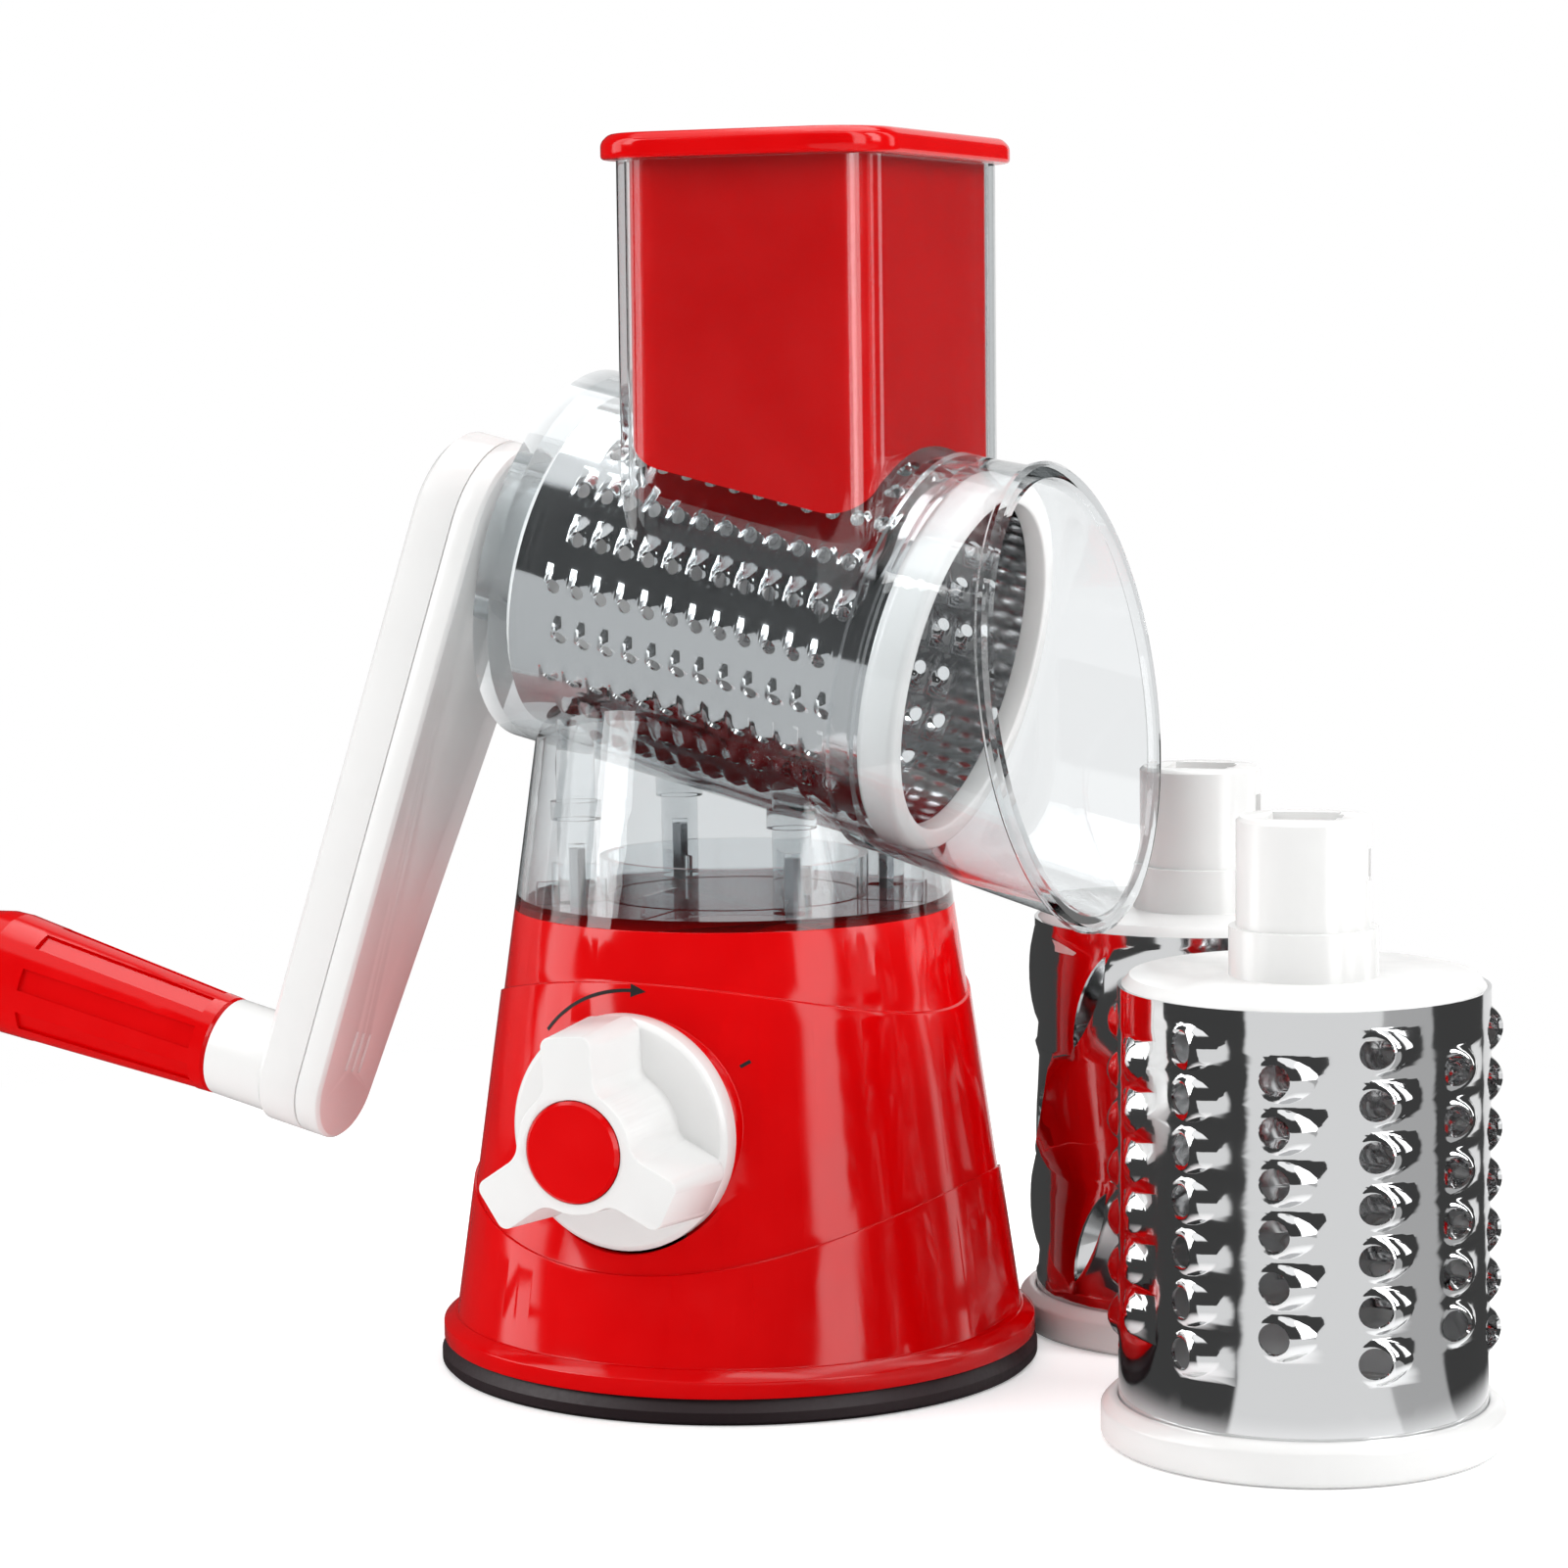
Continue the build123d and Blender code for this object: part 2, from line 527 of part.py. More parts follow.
def make_cam_shaft():
    shaft = extrude(knob_plane(SHAFT_FRONT_Y) * Circle(SHAFT_R), amount=-(SHAFT_FRONT_Y + SHAFT_BACK_Y))
    cam_face = knob_plane(CAM_W / 2) * Pos(-CAM_DROP, -CAM_DROP) * Circle(CAM_R)
    shaft += extrude(cam_face, amount=-CAM_W)
    hole = RegularPolygon(SCREW_R, SCREW_SIDES)
    return shaft - extrude(knob_plane(SHAFT_FRONT_Y) * hole, amount=-KNOB_SCREW_REACH - OVERCUT)


def make_lift_yoke():
    """Slotted frame round the cam, with a stem that pulls the diaphragm up."""
    slot_left = -(CAM_THROW + CAM_R + YOKE_SIDE_CLEAR)
    slot_right = CAM_R - CAM_DROP + YOKE_SIDE_CLEAR
    slot_h = 2 * (CAM_R + YOKE_CLEAR)
    middle_x = (slot_left + slot_right) / 2
    slot_w = slot_right - slot_left
    cam_z = KNOB_Z - CAM_DROP
    frame = Box(slot_w + 2 * YOKE_WALL, YOKE_W, slot_h + 2 * YOKE_WALL) - Box(slot_w, 2 * YOKE_W, slot_h)
    yoke = Pos(middle_x, 0, cam_z) * frame
    stem_top = cam_z - slot_h / 2 - YOKE_WALL / 2
    yoke += upright(STEM_R, 0, 0, STEM_FOOT_Z, stem_top)
    yoke += upright(STEM_FOOT_R, 0, 0, STEM_FOOT_Z, STEM_FOOT_Z + STEM_FOOT_T)
    return yoke


# ---- Clear housing --------------------------------------------------------------------------
def neck_solid(inset):
    """Tapered neck from the round deck to an oval under the barrel."""
    low = Pos(0, 0, DECK_Z) * Ellipse(DECK_R - inset, DECK_R - inset - EPS)
    high = Pos(0, 0, NECK_TOP_Z) * Ellipse(NECK_TOP_RX - inset, NECK_TOP_RY - inset)
    return loft([low, high])


def hopper_prism(width, depth, corner, z_to):
    """Upright rounded prism of the hopper, from the drum axis to z_to."""
    section = Pos(HOPPER_X, 0, AXIS_Z - HOPPER_W) * RectangleRounded(width, depth, corner)
    return extrude(section, amount=z_to - AXIS_Z + HOPPER_W)


def above_axis():
    """Half space above the plane through the drum axis."""
    size = 4 * HOPPER_D
    return axis_plane(0, size / 2) * Box(size, size, size)


def mouth_cone(barrel_s, barrel_r, rim_r):
    """Funnel from the barrel's round end to the leaning rim."""
    return loft([axis_plane(barrel_s) * Circle(barrel_r), rim_plane() * Circle(rim_r)])


def make_barrel():
    """Outside of the barrel, its thicker front ring, its bearing collar and the funnel mouth."""
    barrel = tube_between(BARREL_R, BARREL_BACK_S, STEP_S)
    barrel += tube_between(MOUTH_RING_R, STEP_S - MOUTH_RING_L, STEP_S)
    barrel += tube_between(COLLAR_R, BARREL_BACK_S - COLLAR_L, 0)
    barrel += mouth_cone(STEP_S, MOUTH_RING_R, RIM_R)
    bead = extrude(Circle(RIM_R + RIM_BEAD_OUT), amount=RIM_BEAD_R, both=True)
    return barrel + rim_plane() * chamfer(bead.edges().filter_by(GeomType.CIRCLE), RIM_BEVEL)


def make_bore():
    """Hollow of the barrel and the mouth, with the stepped hole for the drum's hub."""
    bore = tube_between(BARREL_R - HOUSING_WALL, BARREL_BACK_S + BACK_WALL_T, STEP_S)
    bore += mouth_cone(STEP_S, RING_R + RING_GAP, RIM_R - HOUSING_WALL)
    bore += extrude(rim_plane() * Circle(RIM_R - HOUSING_WALL), amount=2 * RIM_BEAD_R)
    bore += tube_between(HUB_COLLAR_R + BODY_GAP, HUB_STEP_S, 0)
    return bore + tube_between(HUB_R + RUN_CLEAR, 2 * BARREL_BACK_S, 0)


def make_neck():
    """Hollow neck with its floor, its ribbed ring and the four screw posts."""
    wall = HOUSING_WALL
    neck = neck_solid(0) - neck_solid(wall)
    neck += Pos(0, 0, DECK_Z) * extrude(Circle(DECK_R - wall / 2), amount=NECK_FLOOR_T)
    ring_low = DECK_Z + NECK_FLOOR_T - EPS
    ring = Circle(NECK_RING_R) - Circle(NECK_RING_R - NECK_RING_T)
    neck += Pos(0, 0, ring_low) * extrude(ring, amount=NECK_RING_H)
    rib_l = DECK_R - wall - NECK_RING_R
    rib_x = NECK_RING_R + (rib_l - NECK_RING_T) / 2
    for i in range(NECK_RIB_COUNT):
        angle = 360.0 * i / NECK_RIB_COUNT
        rib = Box(rib_l, NECK_RIB_T, NECK_RIB_H)
        neck += Rot(0, 0, angle) * Pos(rib_x, 0, ring_low + NECK_RIB_H / 2) * rib
    collar_low = POST_COLLAR_Z - POST_COLLAR_H / 2
    for x, y in neck_screw_places():
        neck += upright(POST_R, x, y, ring_low, AXIS_Z - BARREL_R / 2)
        neck += upright(POST_COLLAR_R, x, y, collar_low, collar_low + POST_COLLAR_H)
    for x, y in neck_screw_places():
        neck -= screw_bar(SCREW_R, x, y, DECK_Z - OVERCUT, DECK_Z + NECK_SCREW_REACH + OVERCUT)
    return neck


def make_clear_housing():
    wall = HOUSING_WALL
    inner_w = HOPPER_W - 2 * wall
    inner_corner = HOPPER_CORNER_R - wall
    hopper = hopper_prism(HOPPER_W, HOPPER_D, HOPPER_CORNER_R, HOPPER_TOP_Z) & above_axis()
    shaft = hopper_prism(inner_w, HOPPER_D - 2 * wall, inner_corner, HOPPER_TOP_Z + OVERCUT) & above_axis()
    throat = hopper_prism(inner_w, 2 * THROAT_HALF_D, inner_corner, HOPPER_TOP_Z - wall) & above_axis()
    housing = make_neck() + (hopper - shaft) + make_barrel()
    return housing - make_bore() - throat


# ---- Pusher ---------------------------------------------------------------------------------
def arch_cut(height):
    """Everything under the pusher's hollow underside, whose crown is height above the drum axis."""
    long = 4 * HOPPER_W
    round_part = extrude(axis_plane(-long / 2, height - PUSHER_ARCH_R) * Circle(PUSHER_ARCH_R), amount=long)
    under = axis_plane(0, height - PUSHER_ARCH_R - long / 2) * Box(long, long, long)
    return round_part + under


def make_pusher_body():
    side = 2 * (HOUSING_WALL + PUSHER_CLEAR)
    corner = HOPPER_CORNER_R - side / 2
    width = HOPPER_W - side
    depth = HOPPER_D - side
    top = HOPPER_TOP_Z + PUSHER_SEAT_GAP
    outer = hopper_prism(width, depth, corner, top) - arch_cut(PUSHER_ARCH_H)
    inner_width = width - 2 * PUSHER_WALL
    inner_depth = depth - 2 * PUSHER_WALL
    inner = hopper_prism(inner_width, inner_depth, corner - PUSHER_WALL, top + OVERCUT)
    inner -= arch_cut(PUSHER_ARCH_H + PUSHER_WALL)
    return outer - inner


def make_pusher_lid():
    low = HOPPER_TOP_Z + PUSHER_SEAT_GAP
    over = 2 * PUSHER_LID_OVERHANG
    plate = RectangleRounded(HOPPER_W + over, HOPPER_D + over, HOPPER_CORNER_R + PUSHER_LID_OVERHANG)
    lid = Pos(HOPPER_X, 0, low) * extrude(plate, amount=PUSHER_LID_T)
    lid = chamfer(lid.faces().sort_by(Axis.Z)[-1].edges(), PUSHER_LID_BEVEL)
    dish_w = HOPPER_W - over
    dish = RectangleRounded(dish_w, HOPPER_D - over, HOPPER_CORNER_R)
    lid -= Pos(HOPPER_X, 0, low + PUSHER_LID_T - PUSHER_LID_DISH) * extrude(dish, amount=PUSHER_LID_T)
    inset = 2 * (HOUSING_WALL + PUSHER_CLEAR + PUSHER_WALL + LID_PLUG_CLEAR)
    corner = HOPPER_CORNER_R - inset / 2
    plug = RectangleRounded(HOPPER_W - inset, HOPPER_D - inset, corner)
    hollow = RectangleRounded(
        HOPPER_W - inset - 2 * LID_PLUG_WALL, HOPPER_D - inset - 2 * LID_PLUG_WALL, corner - LID_PLUG_WALL
    )
    return lid + Pos(HOPPER_X, 0, low - LID_PLUG_H) * extrude(plug - hollow, amount=LID_PLUG_H + EPS)


# ---- Drums ----------------------------------------------------------------------------------
def around(angle, radius, z):
    """Place on the drum's surface: local x points outwards, local y goes round, local z is up."""
    return Rot(0, 0, angle) * Pos(radius, 0, z)


def plain_sheet():
    """Rolled steel tube between the ring's groove and the hub plate."""
    height = SHEET_TOP - RING_H + SHEET_SEAT
    wall = Circle(DRUM_R) - Circle(DRUM_R - SHEET_T)
    return Pos(0, 0, RING_H - SHEET_SEAT) * extrude(wall, amount=height)


def fine_places():
    """Angle and height of every tooth of the fine drum: odd rows are half a pitch along."""
    places = []
    for row in range(FINE_ROWS):
        shift = FINE_PITCH / 2 if row % 2 else 0.0
        for i in range(FINE_PER_ROW):
            places.append((360.0 * row / FINE_ROWS, FINE_FIRST_Z + i * FINE_PITCH + shift))
    return places


def coarse_places():
    """Angle and height of every hole of the coarse drum: odd columns hold one less."""
    places = []
    for column in range(COARSE_COLUMNS):
        odd = column % 2
        for i in range(COARSE_PER_COLUMN - odd):
            places.append((360.0 * column / COARSE_COLUMNS, COARSE_FIRST_Z + (i + odd / 2) * COARSE_PITCH))
    return places


def slot_places():
    """Angle and height of every slicing slot: each band is turned by half a step."""
    places = []
    low = RING_H + SLOT_MARGIN
    step = (SHEET_TOP - SLOT_MARGIN - low) / (SLOT_BANDS - 1)
    for band in range(SLOT_BANDS):
        for i in range(SLOTS_PER_BAND):
            places.append((360.0 * (i + band / 2) / SLOTS_PER_BAND, low + band * step))
    return places


def flat_row_sheet(sides):
    """Tube with round ends and, between them, one flat for each row of teeth."""
    low = RING_H + ROUND_END
    high = SHEET_TOP - ROUND_END
    half = 180.0 / sides
    scale = 1 / cos(radians(half))
    flats = RegularPolygon(DRUM_R * scale, sides) - RegularPolygon((DRUM_R - SHEET_T) * scale, sides)
    middle = Pos(0, 0, low) * extrude(Rot(0, 0, half) * flats, amount=high - low)
    gap = Pos(0, 0, (low + high) / 2) * Box(4 * DRUM_R, 4 * DRUM_R, high - low)
    return plain_sheet() - gap + middle


def fine_hole():
    """Three-sided punched hole, with its point against the turn."""
    face = Plane.YZ * Rot(0, 0, 180) * RegularPolygon(FINE_HOLE_R, 3)
    return extrude(face, amount=2 * SHEET_T, both=True)


def spur(near, width, length, height):
    """Raised cutting spur that starts at the edge of a hole and runs out on the sheet."""
    base = Polyline((0, near, -width / 2), (0, near, width / 2), (0, near + length, 0), close=True)
    return loft([make_face(base), Vertex(height, near, 0)])


def make_drum_sheet():
    """Fine grating sheet: rows of three-sided punched teeth, each row on its own flat."""
    hole = fine_hole()
    return flat_row_sheet(FINE_ROWS) - [around(angle, DRUM_R, z) * hole for angle, z in fine_places()]


def make_coarse_sheet():
    """Coarse grating sheet: a hole with a raised cutting spur for every tooth."""
    places = coarse_places()
    face = Plane.YZ * RegularPolygon(COARSE_HOLE_R, COARSE_SIDES)
    hole = Pos(0, -COARSE_HOLE_R / 2, 0) * extrude(face, amount=2 * SHEET_T, both=True)
    tooth = spur(COARSE_HOLE_R / 2 + EPS, COARSE_SPUR_W, COARSE_SPUR_L, COARSE_SPUR_H)
    sheet = flat_row_sheet(2 * COARSE_COLUMNS) - [around(angle, DRUM_R, z) * hole for angle, z in places]
    return sheet + [around(angle, DRUM_R, z) * tooth for angle, z in places]


def slot_outline(length, width):
    """Slicing slot: straight sides and pointed ends."""
    reach = length / 2
    half = width / 2
    return make_face(Polyline(
        (-reach, 0), (width - reach, half), (reach - width, half), (reach, 0),
        (reach - width, -half), (width - reach, -half), close=True,
    ))


def make_slicer_sheet():
    """Slicing sheet: slanted slots, each with a raised blade along one edge."""
    slant = Rot(0, 0, 90 - SLOT_SLANT)
    slot = extrude(Plane.YZ * slant * slot_outline(SLOT_L, SLOT_W), amount=2 * SHEET_T, both=True)
    places = slot_places()
    return plain_sheet() - [around(angle, DRUM_R, z) * slot for angle, z in places]


def make_ring():
    seat_r = DRUM_R + SHEET_CLEAR
    seat_z = RING_H - SHEET_SEAT - SHEET_CLEAR
    bevel = RING_BEVEL
    return spin([
        (RING_BORE_R, 0), (RING_R - bevel / 2, 0), (RING_R, bevel / 2), (RING_R, RING_H - bevel),
        (RING_R - bevel, RING_H), (seat_r, RING_H), (seat_r, seat_z), (RING_BORE_R, seat_z),
    ])


def make_hub():
    spigot_r = DRUM_R - SHEET_T - SHEET_CLEAR
    low = SHEET_TOP - HUB_SPIGOT_H
    plate_low = HUB_PLATE_TOP - HUB_PLATE_T
    inner_r = spigot_r - HUB_SPIGOT_T
    hub = spin([
        (0, plate_low), (inner_r, plate_low), (inner_r, low), (spigot_r, low), (spigot_r, SHEET_TOP),
        (spigot_r - HUB_PLATE_SLOPE, HUB_PLATE_TOP), (HUB_COLLAR_R, HUB_PLATE_TOP),
        (HUB_COLLAR_R, HUB_COLLAR_TOP), (HUB_R, HUB_COLLAR_TOP), (HUB_R, HUB_TOP - HUB_BEVEL),
        (HUB_R - HUB_BEVEL, HUB_TOP), (0, HUB_TOP),
    ])
    hub -= Pos(0, 0, (plate_low + HUB_TOP) / 2) * Box(SOCKET, SOCKET, HUB_TOP)
    window = Box(HUB_R, WINDOW, WINDOW)
    hub -= Pos(HUB_R, 0, HUB_TOP - WINDOW_DROP) * window
    lead = Box(SOCKET / 2 + LEAD_IN, WINDOW, WINDOW_DROP)
    return hub - Pos((SOCKET / 2 + LEAD_IN) / 2, 0, HUB_TOP - WINDOW_DROP / 2 + EPS) * lead


def fitted(piece):
    """Moves a piece from the drum's own frame into the barrel."""
    tilt = radians(TILT)
    seat = Plane(origin=axis_point(DRUM_FRONT_S), x_dir=(0, 1, 0), z_dir=(-cos(tilt), 0, sin(tilt)))
    return seat * piece


def standing(piece, place, turn):
    """Moves a piece from the drum's own frame to its place on the table."""
    return Pos(place[0], place[1], 0) * Rot(0, 0, turn) * piece


# ---- Crank ----------------------------------------------------------------------------------
def arm_outline(inset):
    """Crank outline: a large round hub, a small round end and the two lines that touch both."""
    hub_r = ARM_HUB_R - inset
    end_r = ARM_END_R - inset
    lean = acos((hub_r - end_r) / ARM_THROW)
    hub_touch = (hub_r * cos(lean), hub_r * sin(lean))
    end_touch = (ARM_THROW + end_r * cos(lean), end_r * sin(lean))
    upper = Line(hub_touch, end_touch)
    end = ThreePointArc(end_touch, (ARM_THROW + end_r, 0), (end_touch[0], -end_touch[1]))
    lower = Line((end_touch[0], -end_touch[1]), (hub_touch[0], -hub_touch[1]))
    hub = ThreePointArc((hub_touch[0], -hub_touch[1]), (-hub_r, 0), hub_touch)
    return make_face([upper, end, lower, hub])


def make_crank_arm():
    depth = ARM_SPLIT_S - ARM_BACK_S
    arm = extrude(arm_plane(ARM_BACK_S) * arm_outline(0), amount=depth)
    back = arm.faces().sort_by(drum_axis())[0]
    arm = chamfer(back.edges(), ARM_BEVEL)
    pocket = extrude(arm_plane(ARM_BACK_S + ARM_WALL) * arm_outline(ARM_WALL), amount=depth)
    keep = tube_between(ARM_BOSS_R, ARM_BACK_S, ARM_SPLIT_S)
    keep += extrude(arm_plane(ARM_BACK_S, ARM_THROW) * Circle(STUB_R - STUB_WALL), amount=depth)
    rib = arm_plane((ARM_BACK_S + ARM_SPLIT_S) / 2, ARM_THROW / 2) * Box(ARM_THROW, ARM_WALL, depth)
    arm -= pocket - keep - rib
    stub_l = ARM_BACK_S - STUB_END_S + ARM_WALL
    arm += extrude(arm_plane(STUB_END_S, ARM_THROW) * Circle(STUB_R), amount=stub_l)
    arm -= extrude(arm_plane(STUB_END_S, ARM_THROW) * Circle(SPINDLE_R), amount=-2 * STUB_END_S)
    head_s = ARM_BACK_S + SPINDLE_SEAT
    arm -= extrude(arm_plane(head_s, ARM_THROW) * Circle(SPINDLE_HEAD_R + HEAD_GAP), amount=-2 * STUB_END_S)
    arm -= tube_between(HUB_R + ARM_HUB_GAP, HUB_END_S - 2 * TOUCH_GAP, 0)
    return arm


def make_crank_cover():
    split = ARM_SPLIT_S + SPLIT_GAP
    cover = extrude(arm_plane(split) * arm_outline(0), amount=ARM_FRONT_S - split)
    front = cover.faces().sort_by(drum_axis())[-1]
    cover = chamfer(front.edges(), ARM_BEVEL / 2)
    cover -= extrude(arm_plane(split) * (arm_outline(-1) - arm_outline(ARM_SEAM)), amount=ARM_SEAM)
    cover -= extrude(arm_plane(split) * arm_outline(ARM_WALL), amount=ARM_FRONT_S - split - COVER_T)
    cover += tube_between(HUB_R + ARM_WALL, split, ARM_FRONT_S - ARM_BEVEL / 2)
    cover -= tube_between(HUB_R + ARM_HUB_GAP, 2 * ARM_SPLIT_S, 0)
    slit = extrude(Rectangle(SLIT_L, SLIT_W), amount=SLIT_DEPTH + OVERCUT)
    for i in range(SLIT_COUNT):
        across = SLIT_PITCH * (i - (SLIT_COUNT - 1) / 2)
        cover -= arm_plane(ARM_FRONT_S - SLIT_DEPTH, ARM_THROW - SLIT_FROM_PIN) * Pos(0, across) * slit
    return cover


def make_drive_peg():
    """Square peg that drives the drum, with the catch that snaps into the hub's window."""
    end_s = HUB_END_S - TOUCH_GAP
    peg = extrude(axis_plane(end_s) * Rectangle(PEG, PEG), amount=PEG_FRONT_S - end_s)
    peg = chamfer(peg.faces().sort_by(drum_axis())[-1].edges(), PEG_BEVEL)
    catch = Box(2 * CATCH_OUT, CATCH, CATCH)
    return peg + fitted(Pos(PEG / 2, 0, HUB_TOP - WINDOW_DROP) * catch)


def make_grip_spindle():
    head_s = ARM_BACK_S + SPINDLE_SEAT + SPINDLE_SEAT_GAP
    nut_s = GRIP_START_S - GRIP_L + GRIP_CAP_T + NUT_CAP_GAP
    pin = extrude(arm_plane(nut_s, ARM_THROW) * Circle(SPINDLE_R - SPINDLE_CLEAR), amount=head_s - nut_s)
    head = extrude(arm_plane(head_s, ARM_THROW) * Circle(SPINDLE_HEAD_R), amount=SPINDLE_HEAD_T)
    nut = extrude(arm_plane(nut_s, ARM_THROW) * RegularPolygon(NUT_R, 6), amount=NUT_T)
    return pin + head + nut


def make_grip():
    """Turned grip with lengthwise flutes, in a frame whose z runs from the inner end outwards."""
    profile = [
        (0, 0), (GRIP_INNER_R - GRIP_BEVEL, 0), (GRIP_INNER_R, GRIP_BEVEL), (GRIP_OUTER_R, GRIP_WIDEST),
        (GRIP_OUTER_R - GRIP_CROWN_DROP, GRIP_WIDEST + GRIP_CROWN_L), (GRIP_END_R, GRIP_L - GRIP_BEVEL),
        (GRIP_END_R - GRIP_BEVEL, GRIP_L), (0, GRIP_L),
    ]
    grip = spin(profile)
    lean = degrees(atan2(GRIP_OUTER_R - GRIP_INNER_R, GRIP_WIDEST))
    middle = GRIP_FLUTE_START + GRIP_FLUTE_L / 2
    radius = GRIP_INNER_R + (GRIP_OUTER_R - GRIP_INNER_R) * middle / GRIP_WIDEST
    flute = Box(2 * GRIP_FLUTE_DEPTH, GRIP_FLUTE_W, GRIP_FLUTE_L)
    for i in range(GRIP_FLUTES):
        grip -= Rot(0, 0, 360.0 * i / GRIP_FLUTES) * Pos(radius, 0, middle) * Rot(0, lean, 0) * flute
    grip -= extrude(Circle(SPINDLE_R + RUN_CLEAR), amount=GRIP_L)
    pocket_z = GRIP_L - GRIP_CAP_T - NUT_CAP_GAP - NUT_T - BODY_GAP
    grip -= Pos(0, 0, pocket_z) * extrude(Circle(NUT_R + BODY_GAP), amount=GRIP_L)
    grip -= Pos(0, 0, GRIP_L - GRIP_CAP_T) * extrude(Circle(GRIP_CAP_R + CAP_FIT), amount=GRIP_L)
    return on_spindle(grip)


def make_grip_cap():
    disc = extrude(Circle(GRIP_CAP_R), amount=GRIP_CAP_T + GRIP_CAP_CROWN)
    cap = Pos(0, 0, GRIP_L - GRIP_CAP_T + CAP_FIT) * disc
    cap = chamfer(cap.faces().sort_by(Axis.Z)[-1].edges(), GRIP_CAP_CROWN)
    return on_spindle(cap)


def on_spindle(piece):
    """Moves a piece from the grip's own frame onto the crank's spindle."""
    base = arm_plane(GRIP_START_S, ARM_THROW)
    back = Vector(0, 0, 0) - base.z_dir
    return Plane(origin=base.origin, x_dir=base.x_dir, z_dir=back) * piece


# ---- All nodes ------------------------------------------------------------------------------
def build_parts():
    """Every node of the object, by name."""
    ring = make_ring()
    hub = make_hub()
    coarse_sheet = make_coarse_sheet()
    slicer_sheet = make_slicer_sheet()
    return {
        "suction_ring": make_suction_ring(),
        "cup_membrane": make_cup_membrane(),
        "base_shell": make_base_shell(),
        "base_plate": make_base_plate(),
        "plate_screws": make_plate_screws(),
        "neck_screws": make_neck_screws(),
        "knob": make_knob(),
        "knob_cap": make_knob_cap(),
        "knob_screw": make_knob_screw(),
        "cam_shaft": make_cam_shaft(),
        "lift_yoke": make_lift_yoke(),
        "clear_housing": make_clear_housing(),
        "pusher_body": make_pusher_body(),
        "pusher_lid": make_pusher_lid(),
        "drum_sheet": fitted(make_drum_sheet()),
        "drum_ring": fitted(ring),
        "drum_hub": fitted(hub),
        "crank_arm": make_crank_arm(),
        "crank_cover": make_crank_cover(),
        "drive_peg": make_drive_peg(),
        "grip_spindle": make_grip_spindle(),
        "grip": make_grip(),
        "grip_cap": make_grip_cap(),
        "coarse_sheet": standing(coarse_sheet, COARSE_AT, COARSE_TURN),
        "coarse_ring": standing(ring, COARSE_AT, COARSE_TURN),
        "coarse_hub": standing(hub, COARSE_AT, COARSE_TURN),
        "slicer_sheet": standing(slicer_sheet, SLICER_AT, SLICER_TURN),
        "slicer_ring": standing(ring, SLICER_AT, SLICER_TURN),
        "slicer_hub": standing(hub, SLICER_AT, SLICER_TURN),
    }


os.makedirs("parts", exist_ok=True)
for name, piece in build_parts().items():
    export_step(piece, f"parts/{name}.step")
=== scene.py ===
"""Rotary cabbage shredder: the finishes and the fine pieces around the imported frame.

Lengths are metres, +Z is up and the outlet mouth looks along +X. The locking knob faces -Y.
"""

import json
import logging
import math
from collections.abc import Callable, Iterable
from dataclasses import dataclass
from enum import Enum

import bpy
from mathutils import Matrix, Vector

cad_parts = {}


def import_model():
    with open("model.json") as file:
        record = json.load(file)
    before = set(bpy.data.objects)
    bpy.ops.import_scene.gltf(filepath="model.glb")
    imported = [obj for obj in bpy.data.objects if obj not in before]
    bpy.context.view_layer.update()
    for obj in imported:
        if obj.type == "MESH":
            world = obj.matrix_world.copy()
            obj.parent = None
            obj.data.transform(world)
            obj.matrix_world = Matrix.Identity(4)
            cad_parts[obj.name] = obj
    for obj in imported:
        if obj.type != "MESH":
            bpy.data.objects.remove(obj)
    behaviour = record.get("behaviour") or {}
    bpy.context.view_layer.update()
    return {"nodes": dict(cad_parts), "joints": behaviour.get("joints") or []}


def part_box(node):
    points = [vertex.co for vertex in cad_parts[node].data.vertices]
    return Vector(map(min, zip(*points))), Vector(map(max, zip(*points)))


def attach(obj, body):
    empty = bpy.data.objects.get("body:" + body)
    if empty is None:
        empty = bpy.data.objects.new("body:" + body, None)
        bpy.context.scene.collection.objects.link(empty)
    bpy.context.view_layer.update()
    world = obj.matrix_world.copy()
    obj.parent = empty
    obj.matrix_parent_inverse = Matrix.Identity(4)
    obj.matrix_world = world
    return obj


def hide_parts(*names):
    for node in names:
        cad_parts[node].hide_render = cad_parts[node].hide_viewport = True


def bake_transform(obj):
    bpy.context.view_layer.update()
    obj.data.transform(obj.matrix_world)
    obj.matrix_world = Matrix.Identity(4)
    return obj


log = logging.getLogger("shredder")

MM = 0.001
PHOTO_SIDE = 1601
MERGE = 2e-6
CREASE = 40.0
SHEET_CREASE = 50.0


class Colour(Enum):
    """Colours as they look, in sRGB hex."""

    RED_ABS = "#DA0003"
    RED_PUSHER = "#D20002"
    WHITE_ABS = "#EDEDEC"
    WHITE_CAP = "#E6E6E4"
    CLEAR_SAN = "#F9FBFC"
    CLEAR_DEPTH = "#8E9698"
    STEEL = "#DADBDC"
    STEEL_DULL = "#B4B5B8"
    RUBBER = "#241318"
    INK = "#141112"
    FLOOR = "#FAFAFA"


def linear(colour: Colour) -> tuple[float, float, float, float]:
    """Turns an sRGB hex colour into Blender's linear values.

    Args:
        colour: the colour as it looks.

    Returns:
        Red, green, blue and an alpha of one.
    """
    code = colour.value.lstrip("#")
    parts = [int(code[i:i + 2], 16) / 255 for i in (0, 2, 4)]
    channels = [c / 12.92 if c <= 0.04045 else ((c + 0.055) / 1.055) ** 2.4 for c in parts]
    return (channels[0], channels[1], channels[2], 1.0)


